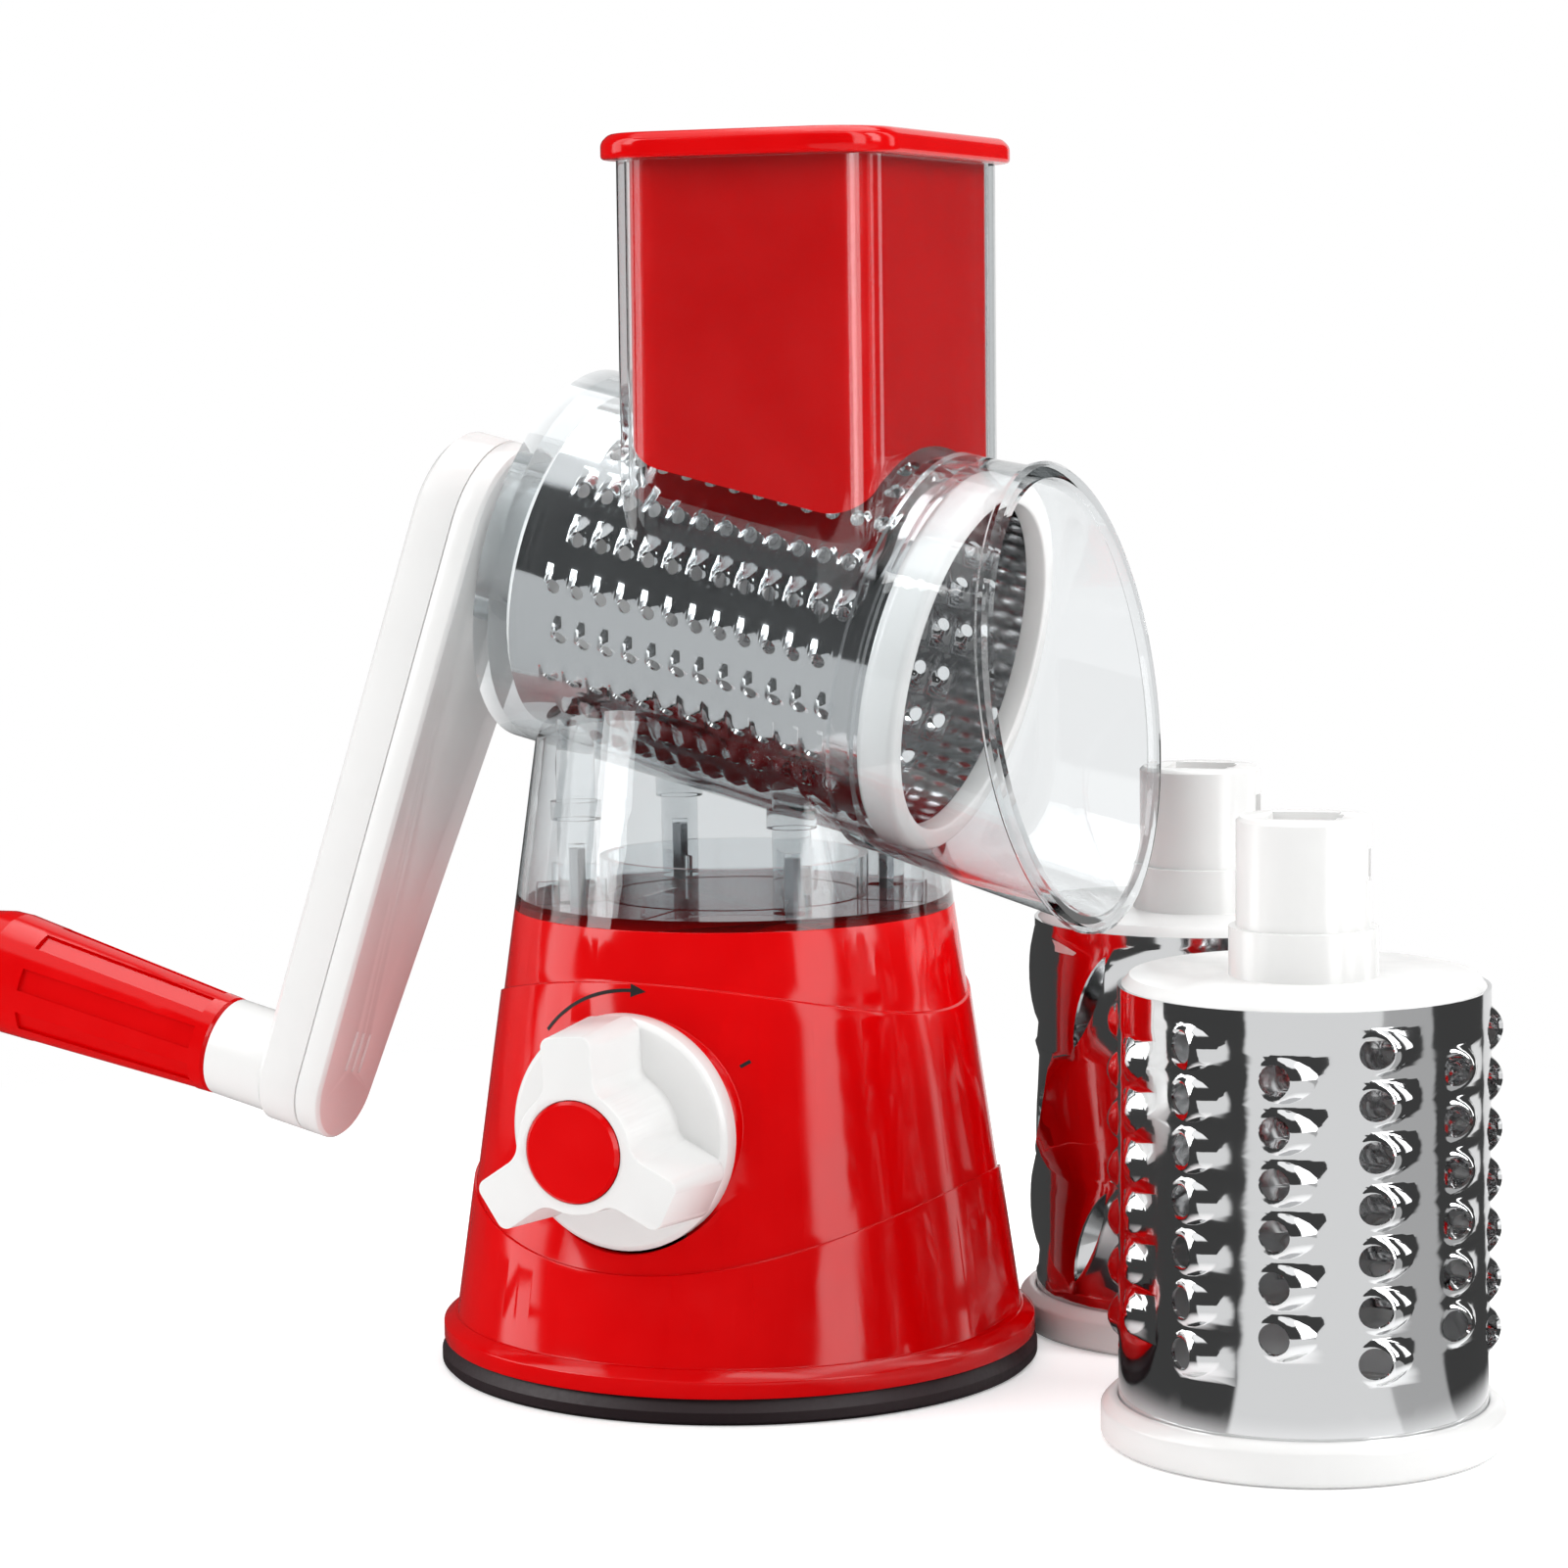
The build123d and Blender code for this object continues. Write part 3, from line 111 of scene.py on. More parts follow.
# ---- Node helpers --------------------------------------------------------------------------
def add_node(
    tree: bpy.types.NodeTree,
    kind: str,
    values: dict | None = None,
    links: dict | None = None,
    settings: dict | None = None,
) -> bpy.types.Node:
    """Adds one node with its settings, socket values and incoming links.

    Args:
        tree: the node tree.
        kind: Blender's name of the node type.
        values: socket name or index to value.
        links: socket name or index to the output that feeds it.
        settings: node property to value.

    Returns:
        The new node.
    """
    node = tree.nodes.new(kind)
    for name, value in (settings or {}).items():
        setattr(node, name, value)
    for name, value in (values or {}).items():
        node.inputs[name].default_value = value
    for name, output in (links or {}).items():
        tree.links.new(output, node.inputs[name])
    return node


def new_material(name: str) -> tuple[bpy.types.Material, bpy.types.Node, bpy.types.NodeTree]:
    """Makes a material with an empty Principled shader.

    Args:
        name: the finish's name.

    Returns:
        The material, its Principled node and its node tree.
    """
    material = bpy.data.materials.new(name)
    material.use_nodes = True
    tree = material.node_tree
    shader = tree.nodes["Principled BSDF"]
    return material, shader, tree


def noise(tree: bpy.types.NodeTree, size_mm: float, detail: float) -> bpy.types.NodeSocket:
    """Adds a noise in the object's own coordinates.

    Args:
        tree: the node tree.
        size_mm: size of its coarsest patches.
        detail: how much finer noise is in it.

    Returns:
        The noise's output.
    """
    place = add_node(tree, "ShaderNodeTexCoord").outputs["Object"]
    return add_node(
        tree, "ShaderNodeTexNoise",
        {"Scale": 1 / (size_mm * MM), "Detail": detail}, {"Vector": place},
    ).outputs[0]


def spread(
    tree: bpy.types.NodeTree, value: bpy.types.NodeSocket, target: tuple[float, float],
    source: tuple[float, float] = (0.0, 1.0), kind: str = "LINEAR",
) -> bpy.types.NodeSocket:
    """Maps a value from one span to another, held at both ends.

    Args:
        tree: the node tree.
        value: what is mapped.
        target: the span of the result.
        source: the span of the value.
        kind: how the result runs in between.

    Returns:
        The result's output.
    """
    ends = {"From Min": source[0], "From Max": source[1], "To Min": target[0], "To Max": target[1]}
    return add_node(
        tree, "ShaderNodeMapRange", ends, {"Value": value}, {"interpolation_type": kind}
    ).outputs[0]


@dataclass(frozen=True)
class Surface:
    """A Principled shader whose gloss and relief follow noises."""

    tree: bpy.types.NodeTree
    shader: bpy.types.Node

    def set(self, values: dict) -> None:
        """Sets the shader's sockets by name."""
        for name, value in values.items():
            self.shader.inputs[name].default_value = value

    def haze(
        self, value: bpy.types.NodeSocket, roughness: float, shares: tuple[float, float],
        source: tuple[float, float] = (0.0, 1.0),
    ) -> None:
        """Lets the roughness follow a noise.

        Args:
            value: the noise.
            roughness: the finish's roughness.
            shares: what is left of it at either end of the noise.
            source: the span of the noise.
        """
        target = (roughness * shares[0], roughness * shares[1])
        rough = spread(self.tree, value, target, source)
        self.tree.links.new(rough, self.shader.inputs["Roughness"])

    def relief(self, height: bpy.types.NodeSocket, strength: float, depth_mm: float) -> None:
        """Bumps the surface by a noise.

        Args:
            height: the noise.
            strength: of the bump.
            depth_mm: its depth.
        """
        bump = add_node(
            self.tree, "ShaderNodeBump",
            {"Strength": strength, "Distance": depth_mm * MM}, {"Height": height},
        )
        self.tree.links.new(bump.outputs[0], self.shader.inputs["Normal"])


# ---- Finishes ------------------------------------------------------------------------------
@dataclass(frozen=True)
class MouldedPlastic:
    """Injection moulded plastic: an even colour with a faint flow mottle and a fine orange peel."""

    name: str
    colour: Colour
    roughness: float = 0.16
    haze: tuple[float, float] = (0.85, 1.2)
    peel_mm: float = 2.2
    peel_depth_mm: float = 0.012
    peel_strength: float = 0.35
    mottle_mm: float = 14.0
    mottle: float = 0.06
    flow_span: tuple[float, float] = (0.3, 0.7)
    ior: float = 1.54

    def build(self) -> bpy.types.Material:
        """Makes the material."""
        material, shader, tree = new_material(self.name)
        surface = Surface(tree, shader)
        flow = noise(tree, self.mottle_mm, 2.0)
        dimmed = spread(tree, flow, (1 - self.mottle, 1.0), self.flow_span)
        tint = add_node(
            tree, "ShaderNodeMix", {0: 1.0, 6: linear(self.colour)}, {7: dimmed},
            {"data_type": "RGBA", "blend_type": "MULTIPLY"},
        )
        tree.links.new(tint.outputs[2], shader.inputs["Base Color"])
        surface.haze(flow, self.roughness, self.haze, self.flow_span)
        surface.relief(noise(tree, self.peel_mm, 3.0), self.peel_strength, self.peel_depth_mm)
        surface.set({"IOR": self.ior})
        return material


@dataclass(frozen=True)
class ClearPlastic:
    """Clear moulded SAN: walls that barely bend light, a gloss coat, and a faint tint in depth."""

    name: str
    colour: Colour
    roughness: float = 0.02
    haze: tuple[float, float] = (0.5, 1.5)
    ior: float = 1.05
    depth: Colour = Colour.CLEAR_DEPTH
    absorbed: float = 45.0
    coat: float = 1.0
    coat_ior: float = 1.5
    wave_mm: float = 26.0
    wave_depth_mm: float = 0.05
    wave_strength: float = 0.3

    def build(self) -> bpy.types.Material:
        """Makes the material."""
        material, shader, tree = new_material(self.name)
        surface = Surface(tree, shader)
        surface.set({
            "Base Color": linear(self.colour), "Transmission Weight": 1.0, "IOR": self.ior,
            "Coat Weight": self.coat, "Coat IOR": self.coat_ior, "Coat Roughness": self.roughness,
        })
        wave = noise(tree, self.wave_mm, 1.0)
        surface.haze(wave, self.roughness, self.haze)
        surface.relief(wave, self.wave_strength, self.wave_depth_mm)
        rays = add_node(tree, "ShaderNodeLightPath")
        lit = add_node(tree, "ShaderNodeBsdfTransparent", {"Color": linear(self.colour)})
        both = add_node(
            tree, "ShaderNodeMixShader", None,
            {0: rays.outputs["Is Shadow Ray"], 1: shader.outputs[0], 2: lit.outputs[0]},
        )
        out = tree.nodes["Material Output"]
        tree.links.new(both.outputs[0], out.inputs["Surface"])
        deep = add_node(
            tree, "ShaderNodeVolumeAbsorption",
            {"Color": linear(self.depth), "Density": self.absorbed},
        )
        tree.links.new(deep.outputs[0], out.inputs["Volume"])
        return material


@dataclass(frozen=True)
class PolishedSteel:
    """Polished stainless: a mirror with a fine grain and a little haze."""

    name: str
    colour: Colour
    roughness: float = 0.07
    haze: tuple[float, float] = (0.6, 1.8)
    grain_mm: float = 0.6
    grain_depth_mm: float = 0.0012
    grain_strength: float = 0.25
    smear_mm: float = 30.0
    smear_span: tuple[float, float] = (0.35, 0.7)

    def build(self) -> bpy.types.Material:
        """Makes the material."""
        material, shader, tree = new_material(self.name)
        surface = Surface(tree, shader)
        surface.set({"Metallic": 1.0, "Base Color": linear(self.colour)})
        surface.haze(noise(tree, self.smear_mm, 3.0), self.roughness, self.haze, self.smear_span)
        surface.relief(noise(tree, self.grain_mm, 2.0), self.grain_strength, self.grain_depth_mm)
        return material


@dataclass(frozen=True)
class SoftRubber:
    """Moulded rubber: dark and dull with a fine grain."""

    name: str
    colour: Colour
    roughness: float = 0.5
    haze: tuple[float, float] = (0.8, 1.3)
    ior: float = 1.5
    grain_mm: float = 1.0
    grain_depth_mm: float = 0.03
    grain_strength: float = 0.4

    def build(self) -> bpy.types.Material:
        """Makes the material."""
        material, shader, tree = new_material(self.name)
        surface = Surface(tree, shader)
        surface.set({"Base Color": linear(self.colour), "IOR": self.ior})
        grain = noise(tree, self.grain_mm, 4.0)
        surface.haze(grain, self.roughness, self.haze)
        surface.relief(grain, self.grain_strength, self.grain_depth_mm)
        return material


# ---- Mesh helpers --------------------------------------------------------------------------
def only(piece: bpy.types.Object) -> None:
    """Selects one object alone and makes it active."""
    bpy.ops.object.select_all(action="DESELECT")
    piece.select_set(True)
    bpy.context.view_layer.objects.active = piece


def in_edit_mode(piece: bpy.types.Object, work: Callable[[], None]) -> None:
    """Runs edit mode operators on the whole of one piece.

    Args:
        piece: the mesh object.
        work: the operators to run, with everything selected.
    """
    only(piece)
    bpy.ops.object.mode_set(mode="EDIT")
    bpy.ops.mesh.select_all(action="SELECT")
    work()
    bpy.ops.object.mode_set(mode="OBJECT")


def merged(piece: bpy.types.Object, outward: bool = False) -> None:
    """Merges points that lie together, and can turn the faces outward.

    Args:
        piece: the mesh object.
        outward: whether the normals are worked out again.
    """

    def work() -> None:
        bpy.ops.mesh.remove_doubles(threshold=MERGE)
        if outward:
            bpy.ops.mesh.normals_make_consistent(inside=False)

    in_edit_mode(piece, work)


def apply_modifier(piece: bpy.types.Object, kind: str, settings: dict) -> None:
    """Adds a modifier with its settings and applies it.

    Args:
        piece: the mesh object.
        kind: the modifier's type.
        settings: property to value.
    """
    only(piece)
    modifier = piece.modifiers.new(kind.title(), kind)
    for name, value in settings.items():
        setattr(modifier, name, value)
    bpy.ops.object.modifier_apply(modifier=modifier.name)


def shade(piece: bpy.types.Object, crease: float = CREASE) -> None:
    """Shades a piece smooth up to its creases.

    Args:
        piece: the mesh object.
        crease: the angle from which an edge stays sharp, in degrees.
    """
    only(piece)
    bpy.ops.object.shade_smooth_by_angle(angle=math.radians(crease))


def dress(piece: bpy.types.Object, material: bpy.types.Material) -> None:
    """Gives a piece one material."""
    if not piece.material_slots:
        piece.data.materials.append(material)
    for slot in piece.material_slots:
        slot.material = material


def place_points(piece: bpy.types.Object, move: Callable[[Vector], Vector]) -> None:
    """Moves every point of a mesh by a rule.

    Args:
        piece: the mesh object.
        move: gives a point's new place from its old one.
    """
    for point in piece.data.vertices:
        point.co = move(point.co)
    piece.data.update()


def joined(pieces: list[bpy.types.Object], name: str) -> bpy.types.Object:
    """Joins meshes into one object.

    Args:
        pieces: the mesh objects.
        name: the joined object's name.

    Returns:
        The joined object.
    """
    bpy.ops.object.select_all(action="DESELECT")
    for piece in pieces:
        piece.select_set(True)
    bpy.context.view_layer.objects.active = pieces[0]
    if len(pieces) > 1:
        bpy.ops.object.join()
    whole = bpy.context.view_layer.objects.active
    whole.name = name
    return whole


@dataclass(frozen=True)
class Softened:
    """A CAD node's copy with the small round edges that a moulding has."""

    node: str
    body: str
    edge_mm: float = 0.5
    corner: float = 30.0
    segments: int = 2
    flat: float = 0.6

    def build(self, material: bpy.types.Material) -> bpy.types.Object:
        """Makes the rounded copy.

        Args:
            material: its finish.

        Returns:
            The new piece, which stands for the node.
        """
        source = bpy.data.objects[self.node]
        piece = source.copy()
        piece.data = source.data.copy()
        piece.name = f"{self.node}_moulded"
        bpy.context.scene.collection.objects.link(piece)
        place = source.matrix_world.copy()
        piece.parent = None
        piece.matrix_world = Matrix.Identity(4)
        piece.data.transform(place)
        merged(piece)
        even = math.radians(self.flat)
        in_edit_mode(piece, lambda: bpy.ops.mesh.dissolve_limited(angle_limit=even))
        apply_modifier(piece, "BEVEL", {
            "width": self.edge_mm * MM, "segments": self.segments, "limit_method": "ANGLE",
            "angle_limit": math.radians(self.corner), "use_clamp_overlap": True,
        })
        shade(piece)
        dress(piece, material)
        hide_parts(self.node)
        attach(piece, self.body)
        return piece


# ---- Drum sheets ---------------------------------------------------------------------------
@dataclass(frozen=True)
class PunchRing:
    """One ring of points round a punched hole.

    reach is its radius as a share of the hole's, pull its share of the hood's tail, and lift its
    share of the hood's height.
    """

    reach: float
    pull: float
    lift: float


@dataclass
class DrumSheet:
    """Rolled steel sheet, punched one cell at a time and bent round the drum.

    A flat point is measured round the drum, along it from the front face, and outwards.
    """

    name: str
    node: str
    body: str
    columns: int
    rows: int
    pitch: float
    first: float
    rings: tuple[PunchRing, ...]
    hole_r: float = 3.0 * MM
    hood: float = 2.0 * MM
    tail: float = 4.0 * MM
    offset: float = 0.0
    sides: int = 16
    uneven: bool = False
    low: float = 5.0 * MM
    high: float = 94.5 * MM
    radius: float = 38.0 * MM
    wall: float = 0.8 * MM
    tail_power: float = 1.5
    narrowing: float = 0.4

    @property
    def cell_width(self) -> float:
        """Width of a cell round the drum."""
        return 2 * math.pi * self.radius / self.columns

    def punched(self, angle: float, ring: PunchRing) -> Vector:
        """A point of a ring round the hole, raised to a hood on one side.

        Args:
            angle: round the hole, from the way that the hood runs.
            ring: the ring.

        Returns:
            The flat point, from the middle of the cell.
        """
        rise = ((1 + math.cos(angle)) / 2) ** 2
        tail = ring.pull * rise ** self.tail_power
        reach = self.hole_r * ring.reach + self.tail * tail
        across = reach * math.cos(angle) + self.offset
        along = reach * math.sin(angle) * (1 - self.narrowing * tail)
        return Vector((across, along, self.hood * ring.lift * rise))

    def outline(self, step: int) -> Vector:
        """A point of the cell's outline, counted from the middle of its right side.

        Args:
            step: which of the outline's points.

        Returns:
            The flat point, from the middle of the cell.
        """
        turn = 4 * step / self.sides
        side = int(turn + 0.5) % 4
        part = 2 * ((turn - side + 2) % 4 - 2)
        wide = self.cell_width / 2
        tall = self.pitch / 2
        across, along = (
            (wide, part * tall), (-part * wide, tall), (-wide, -part * tall), (part * wide, -tall)
        )[side]
        return Vector((across, along, 0.0))

    def cell(self) -> bpy.types.Object:
        """Makes one cell: the hole's edge, extruded ring by ring out to the outline."""
        bpy.ops.object.select_all(action="DESELECT")
        bpy.ops.mesh.primitive_circle_add(vertices=self.sides, radius=1.0, fill_type="NOTHING")
        piece = bpy.context.view_layer.objects.active

        def work() -> None:
            for _ in self.rings:
                bpy.ops.mesh.extrude_edges_move()

        in_edit_mode(piece, work)
        for index, point in enumerate(piece.data.vertices):
            angle = math.atan2(point.co.y, point.co.x)
            step = round(angle / (2 * math.pi) * self.sides) % self.sides
            ring = index // self.sides
            if ring < len(self.rings):
                point.co = self.punched(2 * math.pi * step / self.sides, self.rings[ring])
            else:
                point.co = self.outline(step)
        return piece

    def plain(self, low: float, high: float, lines: int) -> bpy.types.Object:
        """Makes a stretch of plain sheet, one cell wide.

        Args:
            low: its lower edge along the drum.
            high: its upper edge.
            lines: its divisions along the drum.

        Returns:
            The flat piece.
        """
        bpy.ops.object.select_all(action="DESELECT")
        columns = self.sides // 4
        bpy.ops.mesh.primitive_grid_add(x_subdivisions=columns, y_subdivisions=lines, size=1.0)
        piece = bpy.context.view_layer.objects.active
        wide = self.cell_width
        tall = high - low
        middle = (low + high) / 2
        place_points(piece, lambda p: Vector((p.x * wide, p.y * tall + middle, 0.0)))
        return piece

    def column(self, shifted: bool) -> bpy.types.Object:
        """Makes one column of cells with its plain ends.

        Args:
            shifted: whether the column starts half a pitch along.

        Returns:
            The flat column, centred round the drum's start.
        """
        holes = self.rows - (shifted and self.uneven)
        half = self.pitch / 2
        start = self.first + half * shifted
        cell = self.cell()
        place_points(cell, lambda p: p + Vector((0.0, start, 0.0)))
        apply_modifier(cell, "ARRAY", {
            "count": holes, "use_relative_offset": False, "use_constant_offset": True,
            "constant_offset_displace": (0.0, self.pitch, 0.0),
        })
        bottom = self.first - half
        top = bottom + self.pitch * self.rows + half * (not self.uneven)
        pieces = [cell, self.plain(self.low, bottom, 2), self.plain(top, self.high, 2)]
        if shifted:
            pieces.append(self.plain(bottom, bottom + half, self.sides // 8))
        if shifted == self.uneven:
            pieces.append(self.plain(top - half, top, self.sides // 8))
        return joined(pieces, "column")

    def flat_sheet(self) -> bpy.types.Object:
        """Makes the whole sheet, flat: pairs of columns, side by side."""
        second = self.column(True)
        place_points(second, lambda p: p + Vector((self.cell_width, 0.0, 0.0)))
        pair = joined([self.column(False), second], self.name)
        apply_modifier(pair, "ARRAY", {
            "count": self.columns // 2, "use_relative_offset": False, "use_constant_offset": True,
            "constant_offset_displace": (2 * self.cell_width, 0.0, 0.0),
        })
        return pair

    def bent(self, point: Vector) -> Vector:
        """Bends a flat point round the drum's own axis."""
        angle = point.x / self.radius
        reach = self.radius + point.z
        return Vector((reach * math.cos(angle), reach * math.sin(angle), point.y))

    def build(self, seat: Matrix, material: bpy.types.Material) -> bpy.types.Object:
        """Makes the sheet and sets it on its drum.

        Args:
            seat: the drum's own frame.
            material: the sheet's finish.

        Returns:
            The new piece, which stands for the plain node.
        """
        sheet = self.flat_sheet()
        merged(sheet)
        place_points(sheet, self.bent)
        merged(sheet, outward=True)
        face = sheet.data.polygons[0]
        if face.normal.xy.dot(face.center.xy) < 0:
            in_edit_mode(sheet, bpy.ops.mesh.flip_normals)
        apply_modifier(sheet, "SOLIDIFY", {"thickness": self.wall, "offset": -1.0, "use_rim": True})
        merged(sheet, outward=True)
        sheet.data.transform(seat)
        shade(sheet, SHEET_CREASE)
        dress(sheet, material)
        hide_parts(self.node)
        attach(sheet, self.body)
        log.info("%s: %d faces", self.name, len(sheet.data.polygons))
        return sheet


@dataclass
class SlicingSheet(DrumSheet):
    """Sheet with slanted slicing slots in bands, each slot with one raised cutting edge."""

    slot_l: float = 24.0 * MM
    slot_w: float = 6.0 * MM
    slant: float = 24.0
    flare: float = 3.0 * MM
    end_power: float = 0.5
    lip_power: float = 0.7

    def punched(self, angle: float, ring: PunchRing) -> Vector:
        """A point of a ring round the slot; its right edge is the raised one."""
        lean = math.radians(90 - self.slant)
        turn = angle - lean
        side = math.sin(turn)
        grow = self.flare * ring.pull
        along = (self.slot_l / 2 + grow) * math.cos(turn)
        across = (self.slot_w / 2 * abs(side) ** self.end_power + grow) * side
        raised = max(0.0, -side) ** self.lip_power
        return Vector((
            along * math.cos(lean) - across * math.sin(lean),
            along * math.sin(lean) + across * math.cos(lean),
            self.hood * ring.lift * raised,
        ))

    def band(self, index: int) -> bpy.types.Object:
        """Makes one band of slots, turned by half a cell from the one below.

        Args:
            index: the band, from the ring upwards.

        Returns:
            The flat band.
        """
        cell = self.cell()
        shift = Vector((self.cell_width * index / 2, self.first + self.pitch * index, 0.0))
        place_points(cell, lambda p: p + shift)
        return cell

    def flat_sheet(self) -> bpy.types.Object:
        """Makes the whole sheet, flat: bands of slots between two plain ends."""
        bottom = self.first - self.pitch / 2
        top = bottom + self.pitch * self.rows
        pieces = [self.band(index) for index in range(self.rows)]
        pieces += [self.plain(self.low, bottom, 2), self.plain(top, self.high, 2)]
        sheet = joined(pieces, self.name)
        apply_modifier(sheet, "ARRAY", {
            "count": self.columns, "use_relative_offset": False, "use_constant_offset": True,
            "constant_offset_displace": (self.cell_width, 0.0, 0.0),
        })
        return sheet


# ---- Suction diaphragm ---------------------------------------------------------------------
@dataclass
class Diaphragm:
    """Rubber diaphragm of the suction foot, made in flat sectors."""

    node: str = "cup_membrane"
    still: str = "base"
    lifted: str = "lifter"
    sectors: int = 12
    lines: int = 16
    columns: int = 4
    lifted_r: float = 30.0 * MM
    bead_w: float = 6.0 * MM
    sheet_t: float = 2.0 * MM

    def sector(self, index: int, reach: float, bead_t: float) -> bpy.types.Object:
        """Makes one sector, flat on its lower face and thicker at the rim.

        Args:
            index: the sector.
            reach: the diaphragm's radius.
            bead_t: thickness of its rim.

        Returns:
            The closed sector.
        """
        bpy.ops.object.select_all(action="DESELECT")
        bpy.ops.mesh.primitive_grid_add(
            x_subdivisions=self.lines, y_subdivisions=self.columns, size=1.0
        )
        piece = bpy.context.view_layer.objects.active
        piece.name = f"diaphragm_{index + 1}"
        span = 2 * math.pi / self.sectors

        def top(point: Vector) -> Vector:
            # The grid runs from -0.5 to 0.5, so the added half starts it at the middle.
            radius = reach * (point.x + 0.5)
            angle = span * (index + point.y)
            height = bead_t if radius > reach - self.bead_w else self.sheet_t
            return Vector((radius * math.cos(angle), radius * math.sin(angle), height))

        place_points(piece, top)
        above = len(piece.data.vertices)
        in_edit_mode(piece, bpy.ops.mesh.extrude_region_move)
        for point in piece.data.vertices[above:]:
            point.co.z = 0.0
        merged(piece, outward=True)
        return piece

    def build(self, material: bpy.types.Material) -> None:
        """Makes the diaphragm in sectors.

        Args:
            material: its finish.
        """
        low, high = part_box(self.node)
        reach = (high[0] - low[0]) / 2
        for index in range(self.sectors):
            piece = self.sector(index, reach, high[2] - low[2])
            shade(piece)
            dress(piece, material)
            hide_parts(self.node)
            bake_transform(piece)


# ---- Marks by the knob ---------------------------------------------------------------------
@dataclass
class TurnMarks:
    """Printed arc arrow and tick on the red cone, round the locking knob."""

    knob_z: float
    body: str = "base"
    deck_z: float = 102.0 * MM
    deck_r: float = 49.0 * MM
    foot_z: float = 11.3 * MM
    foot_r: float = 62.0 * MM
    step: float = 0.7 * MM
    ink: float = 0.05 * MM
    arc_r: float = 29.6 * MM
    arc_w: float = 0.75 * MM
    arc_from: float = 139.0
    arc_to: float = 91.0
    head_l: float = 3.6 * MM
    head_w: float = 2.9 * MM
    head_tip: float = 0.01
    tick_angle: float = 31.0
    tick_l: float = 2.2 * MM

    def on_cone(self, across: float, height: float) -> Vector:
        """A point just outside the cone, in front of (across, height)."""
        slope = (self.foot_r - self.deck_r) / (self.deck_z - self.foot_z)
        reach = self.deck_r + slope * (self.deck_z - height) + self.step + self.ink
        return Vector((across, -math.sqrt(reach ** 2 - across ** 2), height))

    def strip(self, name: str, length: float, width: float, lines: int) -> bpy.types.Object:
        """Makes a flat strip with its length along X."""
        bpy.ops.object.select_all(action="DESELECT")
        bpy.ops.mesh.primitive_grid_add(x_subdivisions=lines, y_subdivisions=2, size=1.0)
        piece = bpy.context.view_layer.objects.active
        piece.name = name
        place_points(piece, lambda p: Vector((p.x * length, p.y * width, 0.0)))
        return piece

    def round_knob(self, piece: bpy.types.Object, middle: float, radius: float) -> None:
        """Bends a flat strip round the knob's axis and lays it on the cone.

        Args:
            piece: the strip.
            middle: the angle of its middle, in degrees.
            radius: from the knob's axis.
        """

        def move(point: Vector) -> Vector:
            angle = math.radians(middle) - point.x / radius
            reach = radius + point.y
            return self.on_cone(reach * math.cos(angle), self.knob_z + reach * math.sin(angle))

        place_points(piece, move)

    def build(self, material: bpy.types.Material) -> bpy.types.Object:
        """Makes the marks.

        Args:
            material: the ink.

        Returns:
            The new piece.
        """
        span = math.radians(self.arc_from - self.arc_to) * self.arc_r
        arc = self.strip("turn_marks", span, self.arc_w, 40)
        self.round_knob(arc, (self.arc_from + self.arc_to) / 2, self.arc_r)
        head = self.strip("head", self.head_l, self.head_w, 6)
        kept = 1 - self.head_tip
        place_points(head, lambda p: Vector((p.x, p.y * (0.5 - p.x / self.head_l) * kept, 0.0)))
        past = math.degrees(self.head_l / 2 / self.arc_r)
        self.round_knob(head, self.arc_to - past, self.arc_r)
        tick = self.strip("tick", self.arc_w, self.tick_l, 2)
        self.round_knob(tick, self.tick_angle, self.arc_r - self.tick_l / 2)
        marks = joined([arc, head, tick], "turn_marks")
        merged(marks, outward=True)
        face = marks.data.polygons[0]
        if face.normal.y > 0:
            in_edit_mode(marks, bpy.ops.mesh.flip_normals)
        apply_modifier(marks, "SOLIDIFY", {"thickness": self.ink, "offset": -1.0, "use_rim": True})
        dress(marks, material)
        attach(marks, self.body)
        return marks


# ---- Stage ---------------------------------------------------------------------------------
@dataclass(frozen=True)
class Patch:
    """A bright patch that gloss shows: azimuths in degrees, upward shares of the direction."""

    left: float
    right: float
    low: float
    high: float
    level: float


@dataclass(frozen=True)
class Lamp:
    """A soft rectangular lamp."""

    name: str
    at: tuple[float, float, float]
    size: tuple[float, float]
    power: float

    def build(self, aim: tuple[float, float, float]) -> None:
        """Makes the lamp.

        Args:
            aim: the point that it looks at.
        """
        data = bpy.data.lights.new(self.name, "AREA")
        data.shape = "RECTANGLE"
        data.size, data.size_y = self.size
        data.energy = self.power
        lamp = bpy.data.objects.new(self.name, data)
        bpy.context.scene.collection.objects.link(lamp)
        lamp.location = self.at
        way = Vector(self.at) - Vector(aim)
        lamp.rotation_euler = way.to_track_quat("Z", "Y").to_euler()


LAMPS = (
    Lamp("left_softbox", (-1.1, -0.9, 1.0), (0.5, 1.1), 9.5),
    Lamp("right_softbox", (1.3, 0.1, 0.8), (0.4, 1.0), 8.5),
    Lamp("top_softbox", (0.0, 0.3, 1.6), (1.2, 1.2), 12.0),
)

# The room as gloss shows it.
SOFTBOXES = (
    Patch(-180.0, 180.0, 0.82, 1.0, 1.2),
    Patch(-174.0, -156.0, -0.1, 0.85, 3.0),
    Patch(-31.0, -15.0, -0.1, 0.85, 4.5),
    Patch(37.0, 45.0, -0.1, 0.85, 2.5),
    Patch(84.0, 116.0, -0.1, 0.7, 0.8),
)

# The floor round the drums as gloss shows it: painted reflections, patches where the floor glows
# for mirrored rays only.
FLOOR_PATCHES = (
    Patch(-106.0, -26.0, -1.0, 1.0, 0.9),
    Patch(-24.0, 8.0, -1.0, 1.0, 0.5),
    Patch(68.0, 116.0, -1.0, 1.0, 0.9),
)

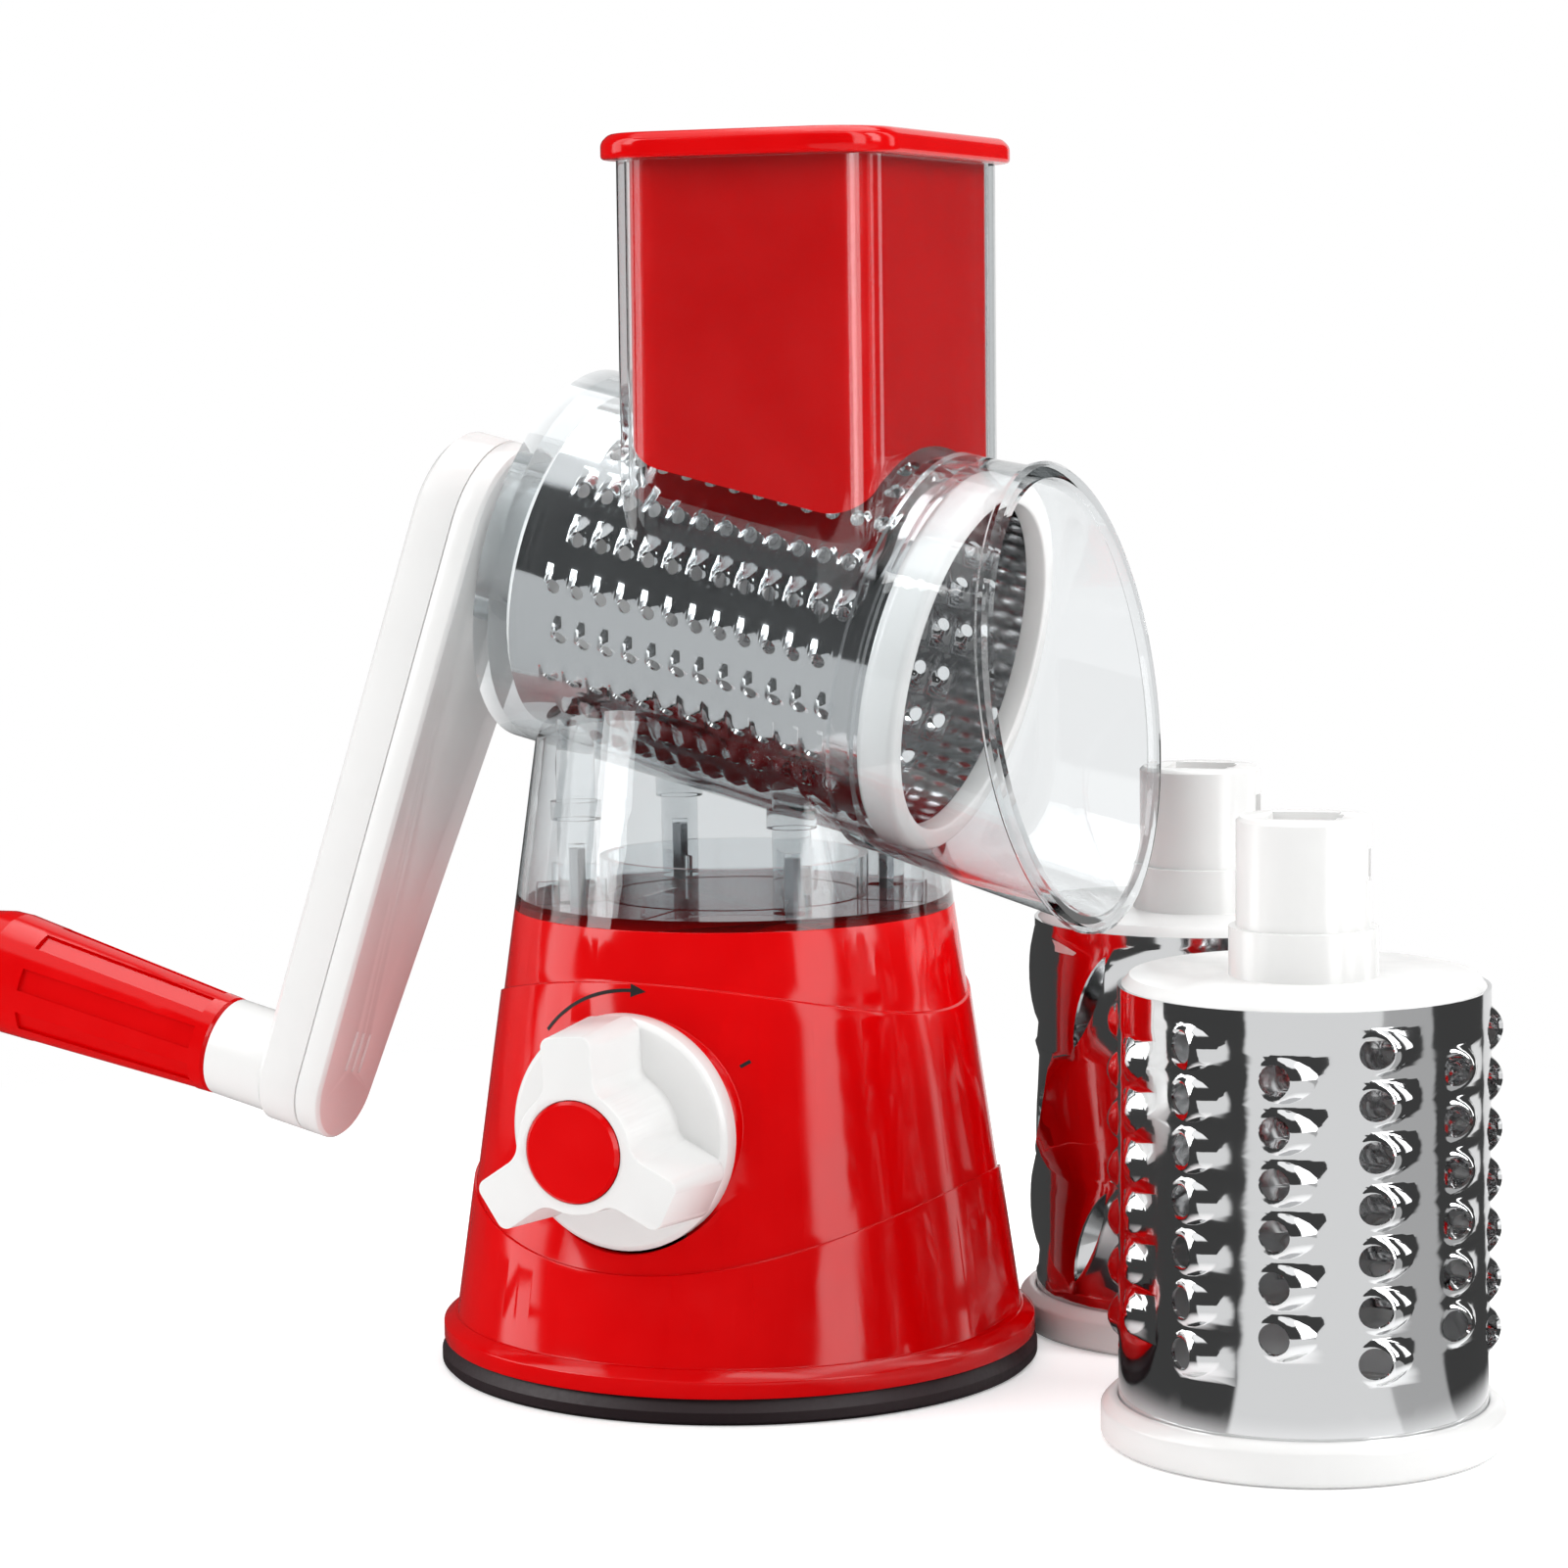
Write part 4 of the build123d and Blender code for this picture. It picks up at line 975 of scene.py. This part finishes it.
# A ray's depths are whole numbers; these spans tell none from one, and one from two.
FIRST = (0.4, 0.6)
SECOND = (1.4, 1.6)


@dataclass
class Studio:
    """Pale floor, soft light and the camera at the photograph's place."""

    camera_at: tuple[float, float, float] = (0.3879, -0.8280, 0.2251)
    yaw: float = 24.39
    pitch: float = 6.04
    roll: float = -0.67
    focal_px: float = 4216.0
    sensor_mm: float = 36.0
    floor_size: float = 8.0
    world_level: float = 0.68
    room_level: float = 0.06
    wall_level: float = 0.8
    floor_lift: float = 0.3
    floor_gap: float = 0.1 * MM
    patch_edge: float = 0.06
    aim: tuple[float, float, float] = (0.03, 0.0, 0.13)
    paper_reach: tuple[float, float] = (0.2, 0.42)
    gloss_reach: tuple[float, float] = (0.05, 0.09)
    gloss_centre: tuple[float, float, float] = (0.1393, -0.0237, 0.0)

    def camera(self) -> bpy.types.Object:
        """Makes the camera."""
        yaw, pitch, roll = (math.radians(a) for a in (self.yaw, self.pitch, self.roll))
        level = math.cos(pitch)
        ahead = Vector((-math.sin(yaw) * level, math.cos(yaw) * level, -math.sin(pitch)))
        right = Vector((math.cos(yaw), math.sin(yaw), 0.0))
        up = right.cross(ahead)
        across = right * math.cos(roll) + up * math.sin(roll)
        above = up * math.cos(roll) - right * math.sin(roll)
        data = bpy.data.cameras.new("photo_camera")
        data.sensor_width = self.sensor_mm
        data.lens = self.focal_px * self.sensor_mm / PHOTO_SIDE
        camera = bpy.data.objects.new("photo_camera", data)
        bpy.context.scene.collection.objects.link(camera)
        turn = Matrix((across, above, -ahead)).transposed().to_4x4()
        camera.matrix_world = Matrix.Translation(self.camera_at) @ turn
        bpy.context.scene.camera = camera
        return camera

    def smooth(
        self, tree: bpy.types.NodeTree, value: bpy.types.NodeSocket, low: float, high: float,
        first: float = 0.0, last: float = 1.0,
    ) -> bpy.types.NodeSocket:
        """Runs softly from first to last while the value goes from low to high.

        Args:
            tree: the node tree.
            value: what is compared.
            low: where the change starts.
            high: where it ends.
            first: the result below low.
            last: the result above high.

        Returns:
            The result's output.
        """
        return spread(tree, value, (first, last), (low, high), "SMOOTHSTEP")

    def combined(
        self, tree: bpy.types.NodeTree, kind: str,
        one: bpy.types.NodeSocket, other: bpy.types.NodeSocket,
    ) -> bpy.types.NodeSocket:
        """Joins two values by one arithmetic operation."""
        return add_node(
            tree, "ShaderNodeMath", None, {0: one, 1: other}, {"operation": kind}
        ).outputs[0]

    def patches(
        self, tree: bpy.types.NodeTree, azimuth: bpy.types.NodeSocket, height: bpy.types.NodeSocket,
        table: tuple[Patch, ...], base: float,
    ) -> bpy.types.NodeSocket:
        """Brightness of a dim room with bright patches.

        Args:
            tree: the node tree.
            azimuth: the direction, in radians.
            height: the upward share of the direction.
            table: the patches.
            base: the room's level.

        Returns:
            The level's output.
        """
        level = add_node(tree, "ShaderNodeValue").outputs[0]
        level.default_value = base
        for patch in table:
            wide = self.band(tree, azimuth, math.radians(patch.left), math.radians(patch.right))
            tall = self.band(tree, height, patch.low, patch.high)
            inside = self.combined(tree, "MULTIPLY", wide, tall)
            bright = add_node(
                tree, "ShaderNodeMath", {1: patch.level}, {0: inside}, {"operation": "MULTIPLY"}
            ).outputs[0]
            level = self.combined(tree, "MAXIMUM", level, bright)
        return level

    def rays(self, tree: bpy.types.NodeTree) -> tuple[bpy.types.NodeSocket, ...]:
        """Sorts the rays that reach the stage.

        Args:
            tree: the node tree.

        Returns:
            One for a ray from the camera, straight or through clear walls; one for a mirrored ray;
            one for a ray that has passed clear walls; and one for a ray mirrored again in them.
        """
        path = add_node(tree, "ShaderNodeLightPath")
        bounces = path.outputs["Glossy Depth"]
        walls = path.outputs["Transmission Depth"]
        mirrored = self.smooth(tree, bounces, *FIRST)
        straight = self.smooth(tree, bounces, *FIRST, 1.0, 0.0)
        through = self.combined(tree, "MULTIPLY", path.outputs["Is Transmission Ray"], straight)
        seen = self.combined(tree, "MAXIMUM", path.outputs["Is Camera Ray"], through)
        passed = self.smooth(tree, walls, *FIRST)
        again = self.combined(tree, "MULTIPLY", self.smooth(tree, bounces, *SECOND), passed)
        return seen, mirrored, passed, again

    def floor(self) -> bpy.types.Object:
        """Makes the pale floor: paper under the object that runs out to plain white, glowing in
        painted reflection patches for gloss.
        """
        bpy.ops.object.select_all(action="DESELECT")
        bpy.ops.mesh.primitive_plane_add(
            size=self.floor_size, location=(0.0, 0.0, -self.floor_gap)
        )
        floor = bpy.context.view_layer.objects.active
        floor.name = "floor"
        material, shader, tree = new_material("pale studio paper")
        Surface(tree, shader).set({
            "Base Color": linear(Colour.FLOOR), "Roughness": 0.9, "Specular IOR Level": 0.1,
            "Emission Color": (1.0, 1.0, 1.0, 1.0),
        })
        path = add_node(tree, "ShaderNodeLightPath")
        lift = add_node(
            tree, "ShaderNodeMath", {1: self.floor_lift}, {0: path.outputs["Is Camera Ray"]},
            {"operation": "MULTIPLY"},
        )
        tree.links.new(lift.outputs[0], shader.inputs["Emission Strength"])
        place = add_node(tree, "ShaderNodeTexCoord").outputs["Object"]
        across = add_node(
            tree, "ShaderNodeVectorMath", {1: self.gloss_centre}, {0: place},
            {"operation": "SUBTRACT"},
        ).outputs[0]
        split = add_node(tree, "ShaderNodeSeparateXYZ", None, {0: across})
        azimuth = self.combined(tree, "ARCTAN2", split.outputs[1], split.outputs[0])
        reach = add_node(
            tree, "ShaderNodeVectorMath", None, {0: place}, {"operation": "LENGTH"}
        ).outputs["Value"]
        near = add_node(
            tree, "ShaderNodeVectorMath", {1: self.gloss_centre}, {0: place},
            {"operation": "DISTANCE"},
        ).outputs["Value"]
        # Painted reflections: beyond the drum the floor glows in bright and dark patches that only
        # mirrored rays see.
        room = self.patches(tree, azimuth, split.outputs[2], FLOOR_PATCHES, self.room_level)
        seen, mirrored, passed, _ = self.rays(tree)
        veiled = add_node(tree, "ShaderNodeMix", {3: self.wall_level}, {0: passed, 2: room})
        clear = add_node(tree, "ShaderNodeMix", {3: 1.0}, {0: seen, 2: veiled.outputs[0]})
        white = add_node(tree, "ShaderNodeEmission", None, {"Strength": clear.outputs[0]})
        off_paper = self.smooth(tree, reach, *self.paper_reach)
        off_drum = self.smooth(tree, near, *self.gloss_reach)
        far = self.combined(
            tree, "MAXIMUM", self.combined(tree, "MULTIPLY", off_paper, seen),
            self.combined(tree, "MULTIPLY", off_drum, mirrored),
        )
        both = add_node(
            tree, "ShaderNodeMixShader", None, {0: far, 1: shader.outputs[0], 2: white.outputs[0]}
        )
        tree.links.new(both.outputs[0], tree.nodes["Material Output"].inputs["Surface"])
        dress(floor, material)
        return floor

    def band(
        self, tree: bpy.types.NodeTree, value: bpy.types.NodeSocket, low: float, high: float
    ) -> bpy.types.NodeSocket:
        """One between low and high, falling softly to zero outside.

        Args:
            tree: the node tree.
            value: what is compared.
            low: lower edge.
            high: upper edge.

        Returns:
            The band's output.
        """
        rise = self.smooth(tree, value, low - self.patch_edge, low)
        fall = self.smooth(tree, value, high, high + self.patch_edge, 1.0, 0.0)
        return self.combined(tree, "MULTIPLY", rise, fall)

    def world(self) -> None:
        """Makes the soft room: white for the camera, dim with softboxes for reflections."""
        world = bpy.data.worlds.new("studio")
        bpy.context.scene.world = world
        world.use_nodes = True
        tree = world.node_tree
        tree.nodes.clear()
        way = add_node(tree, "ShaderNodeTexCoord").outputs["Generated"]
        split = add_node(tree, "ShaderNodeSeparateXYZ", None, {0: way})
        azimuth = self.combined(tree, "ARCTAN2", split.outputs[1], split.outputs[0])
        room = self.patches(tree, azimuth, split.outputs[2], SOFTBOXES, self.room_level)
        seen, mirrored, _, again = self.rays(tree)
        veiled = add_node(tree, "ShaderNodeMix", {3: self.wall_level}, {0: again, 2: room})
        lit = add_node(
            tree, "ShaderNodeMix", {2: self.world_level}, {0: mirrored, 3: veiled.outputs[0]},
        )
        level = add_node(tree, "ShaderNodeMix", {3: 1.0}, {0: seen, 2: lit.outputs[0]})
        sky = add_node(
            tree, "ShaderNodeBackground", {"Color": (1.0, 1.0, 1.0, 1.0)},
            {"Strength": level.outputs[0]},
        )
        out = add_node(tree, "ShaderNodeOutputWorld")
        tree.links.new(sky.outputs[0], out.inputs["Surface"])

    def build(self) -> None:
        """Makes the whole stage."""
        self.camera()
        self.floor()
        self.world()
        for lamp in LAMPS:
            lamp.build(self.aim)


# ---- The object ----------------------------------------------------------------------------
@dataclass
class Finishes:
    """Every finish of the shredder, built once."""

    red: bpy.types.Material
    pusher: bpy.types.Material
    white: bpy.types.Material
    inner: bpy.types.Material
    clear: bpy.types.Material
    sheet: bpy.types.Material
    bright: bpy.types.Material
    rubber: bpy.types.Material
    ink: bpy.types.Material

    @classmethod
    def made(cls) -> "Finishes":
        """Builds the materials."""
        return cls(
            red=MouldedPlastic(
                "red glossy ABS", Colour.RED_ABS, roughness=0.12, ior=1.38
            ).build(),
            pusher=MouldedPlastic(
                "red pusher ABS", Colour.RED_PUSHER, roughness=0.2, ior=1.3
            ).build(),
            white=MouldedPlastic(
                "white ABS", Colour.WHITE_ABS, roughness=0.22, mottle=0.02
            ).build(),
            inner=MouldedPlastic(
                "white inner ABS", Colour.WHITE_CAP, roughness=0.4, mottle=0.03
            ).build(),
            clear=ClearPlastic("clear SAN", Colour.CLEAR_SAN).build(),
            sheet=PolishedSteel("polished stainless sheet", Colour.STEEL).build(),
            bright=PolishedSteel("bright turned steel", Colour.STEEL_DULL, roughness=0.2).build(),
            rubber=SoftRubber("dark moulded rubber", Colour.RUBBER).build(),
            ink=SoftRubber("black print", Colour.INK, roughness=0.5, grain_depth_mm=0.005).build(),
        )


@dataclass
class DrumFrame:
    """Where a drum stands: its own frame has z along its axis, from the ring to the hub."""

    front: Vector
    axis: Vector
    start: Vector

    def matrix(self) -> Matrix:
        """The drum's frame as a matrix."""
        third = self.axis.normalized()
        first = self.start.normalized()
        second = third.cross(first)
        turn = Matrix((first, second, third)).transposed().to_4x4()
        return Matrix.Translation(self.front) @ turn


def standing_frame(ring: str, turn: float) -> Matrix:
    """The frame of a drum that stands on the table.

    Args:
        ring: the node of its front ring.
        turn: the drum's turn about its axis, in degrees.

    Returns:
        The drum's own frame.
    """
    low, high = (Vector(corner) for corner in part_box(ring))
    centre = (low + high) / 2
    angle = math.radians(turn)
    start = Vector((math.cos(angle), math.sin(angle), 0.0))
    return DrumFrame(Vector((centre.x, centre.y, low.z)), Vector((0.0, 0.0, 1.0)), start).matrix()


def fitted_frame(joint: dict, front: float) -> Matrix:
    """The frame of the drum in the barrel.

    Args:
        joint: the drum's hinge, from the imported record.
        front: from the hinge's point to the drum's front face, along the axis.

    Returns:
        The drum's own frame.
    """
    axis = Vector(joint["axis"]).normalized()
    point = Vector(joint["pos_m"]) + axis * front
    return DrumFrame(point, -axis, Vector((0.0, 1.0, 0.0))).matrix()


@dataclass
class Base:
    """Suction foot, red cone, locking knob and the lift mechanism."""

    finishes: Finishes

    def build(self, nodes: dict) -> None:
        """Dresses the base and prints its marks.

        Args:
            nodes: the frame's nodes by name.
        """
        look = self.finishes
        for name, material in {
            "suction_ring": look.rubber,
            "base_plate": look.inner, "plate_screws": look.bright, "knob_cap": look.red,
            "knob_screw": look.bright, "cam_shaft": look.bright, "lift_yoke": look.inner,
        }.items():
            dress(nodes[name], material)
        Diaphragm().build(look.rubber)
        Softened("base_shell", "base", edge_mm=0.35).build(look.red)
        Softened("knob", "knob", edge_mm=0.5).build(look.white)
        low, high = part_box("knob_cap")
        TurnMarks(knob_z=(low[2] + high[2]) / 2).build(look.ink)
        log.info("base dressed")


@dataclass
class Housing:
    """Clear housing, its screws and the pusher."""

    finishes: Finishes

    def build(self, nodes: dict) -> None:
        """Dresses the housing and the pusher.

        Args:
            nodes: the frame's nodes by name.
        """
        look = self.finishes
        dress(nodes["clear_housing"], look.clear)
        dress(nodes["neck_screws"], look.bright)
        dress(nodes["pusher_body"], look.pusher)
        Softened("pusher_lid", "pusher", edge_mm=0.9, segments=3).build(look.red)
        log.info("housing dressed")


@dataclass
class Drums:
    """The fitted fine drum and the two spare drums."""

    finishes: Finishes
    coarse_turn: float = 12.0
    slicer_turn: float = 8.0
    fitted_front: float = 60.0 * MM

    def build(self, nodes: dict, joints: list) -> None:
        """Makes the three punched sheets and dresses their rings and hubs.

        Args:
            nodes: the frame's nodes by name; not used.
            joints: the frame's joints.
        """
        look = self.finishes
        for name in ("drum", "coarse", "slicer"):
            body = name if name == "drum" else f"{name}_drum"
            Softened(f"{name}_ring", body, edge_mm=0.5).build(look.white)
            Softened(f"{name}_hub", body, edge_mm=0.4).build(look.white)
        spin = next(joint for joint in joints if joint["name"] == "drum_spin")
        DrumSheet(
            "fine_sheet", "drum_sheet", "drum", columns=22, rows=12,
            pitch=5.81 * MM, first=17.8 * MM, hole_r=1.6 * MM, hood=1.5 * MM, tail=2.6 * MM,
            offset=-1.0 * MM,
            rings=(PunchRing(1.0, 0.0, 1.0), PunchRing(1.22, 0.35, 0.8), PunchRing(1.45, 1.0, 0.0)),
        ).build(fitted_frame(spin, self.fitted_front), look.sheet)
        DrumSheet(
            "coarse_toothed_sheet", "coarse_sheet", "coarse_drum", columns=12, rows=7,
            pitch=10.33 * MM, first=24.2 * MM, hole_r=3.2 * MM, hood=2.3 * MM, tail=4.6 * MM,
            offset=-2.2 * MM, sides=24, uneven=True,
            rings=(
                PunchRing(1.0, 0.0, 1.0), PunchRing(1.08, 0.08, 1.02), PunchRing(1.2, 0.45, 0.7),
                PunchRing(1.3, 0.9, 0.16), PunchRing(1.36, 1.05, 0.0),
            ),
        ).build(standing_frame("coarse_ring", self.coarse_turn), look.sheet)
        SlicingSheet(
            "slicer_slotted_sheet", "slicer_sheet", "slicer_drum", columns=6, rows=3,
            pitch=26.75 * MM, first=25.0 * MM, hood=1.6 * MM, sides=24,
            rings=(PunchRing(1.0, 0.0, 1.0), PunchRing(1.0, 0.3, 0.8), PunchRing(1.0, 1.0, 0.0)),
        ).build(standing_frame("slicer_ring", self.slicer_turn), look.sheet)


@dataclass
class Crank:
    """Crank arm, its cover, the drive peg and the turning grip."""

    finishes: Finishes

    def build(self, nodes: dict) -> None:
        """Dresses the crank and the grip.

        Args:
            nodes: the frame's nodes by name.
        """
        look = self.finishes
        for name, material in {
            "drive_peg": look.inner, "grip_spindle": look.bright, "grip": look.red,
        }.items():
            dress(nodes[name], material)
        Softened("crank_arm", "crank", edge_mm=0.7, segments=3).build(look.white)
        Softened("crank_cover", "crank", edge_mm=0.3).build(look.white)
        Softened("grip_cap", "grip", edge_mm=0.4).build(look.red)
        log.info("crank dressed")


def main() -> None:
    """Builds the finishes, the pieces and the stage."""
    logging.basicConfig(level=logging.INFO, format="%(name)s: %(message)s")
    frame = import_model()
    bpy.context.scene.view_settings.view_transform = "Standard"
    finishes = Finishes.made()
    Base(finishes).build(frame["nodes"])
    Housing(finishes).build(frame["nodes"])
    Drums(finishes).build(frame["nodes"], frame["joints"])
    Crank(finishes).build(frame["nodes"])
    Studio().build()
    log.info("done")


if __name__ == "__main__":
    main()
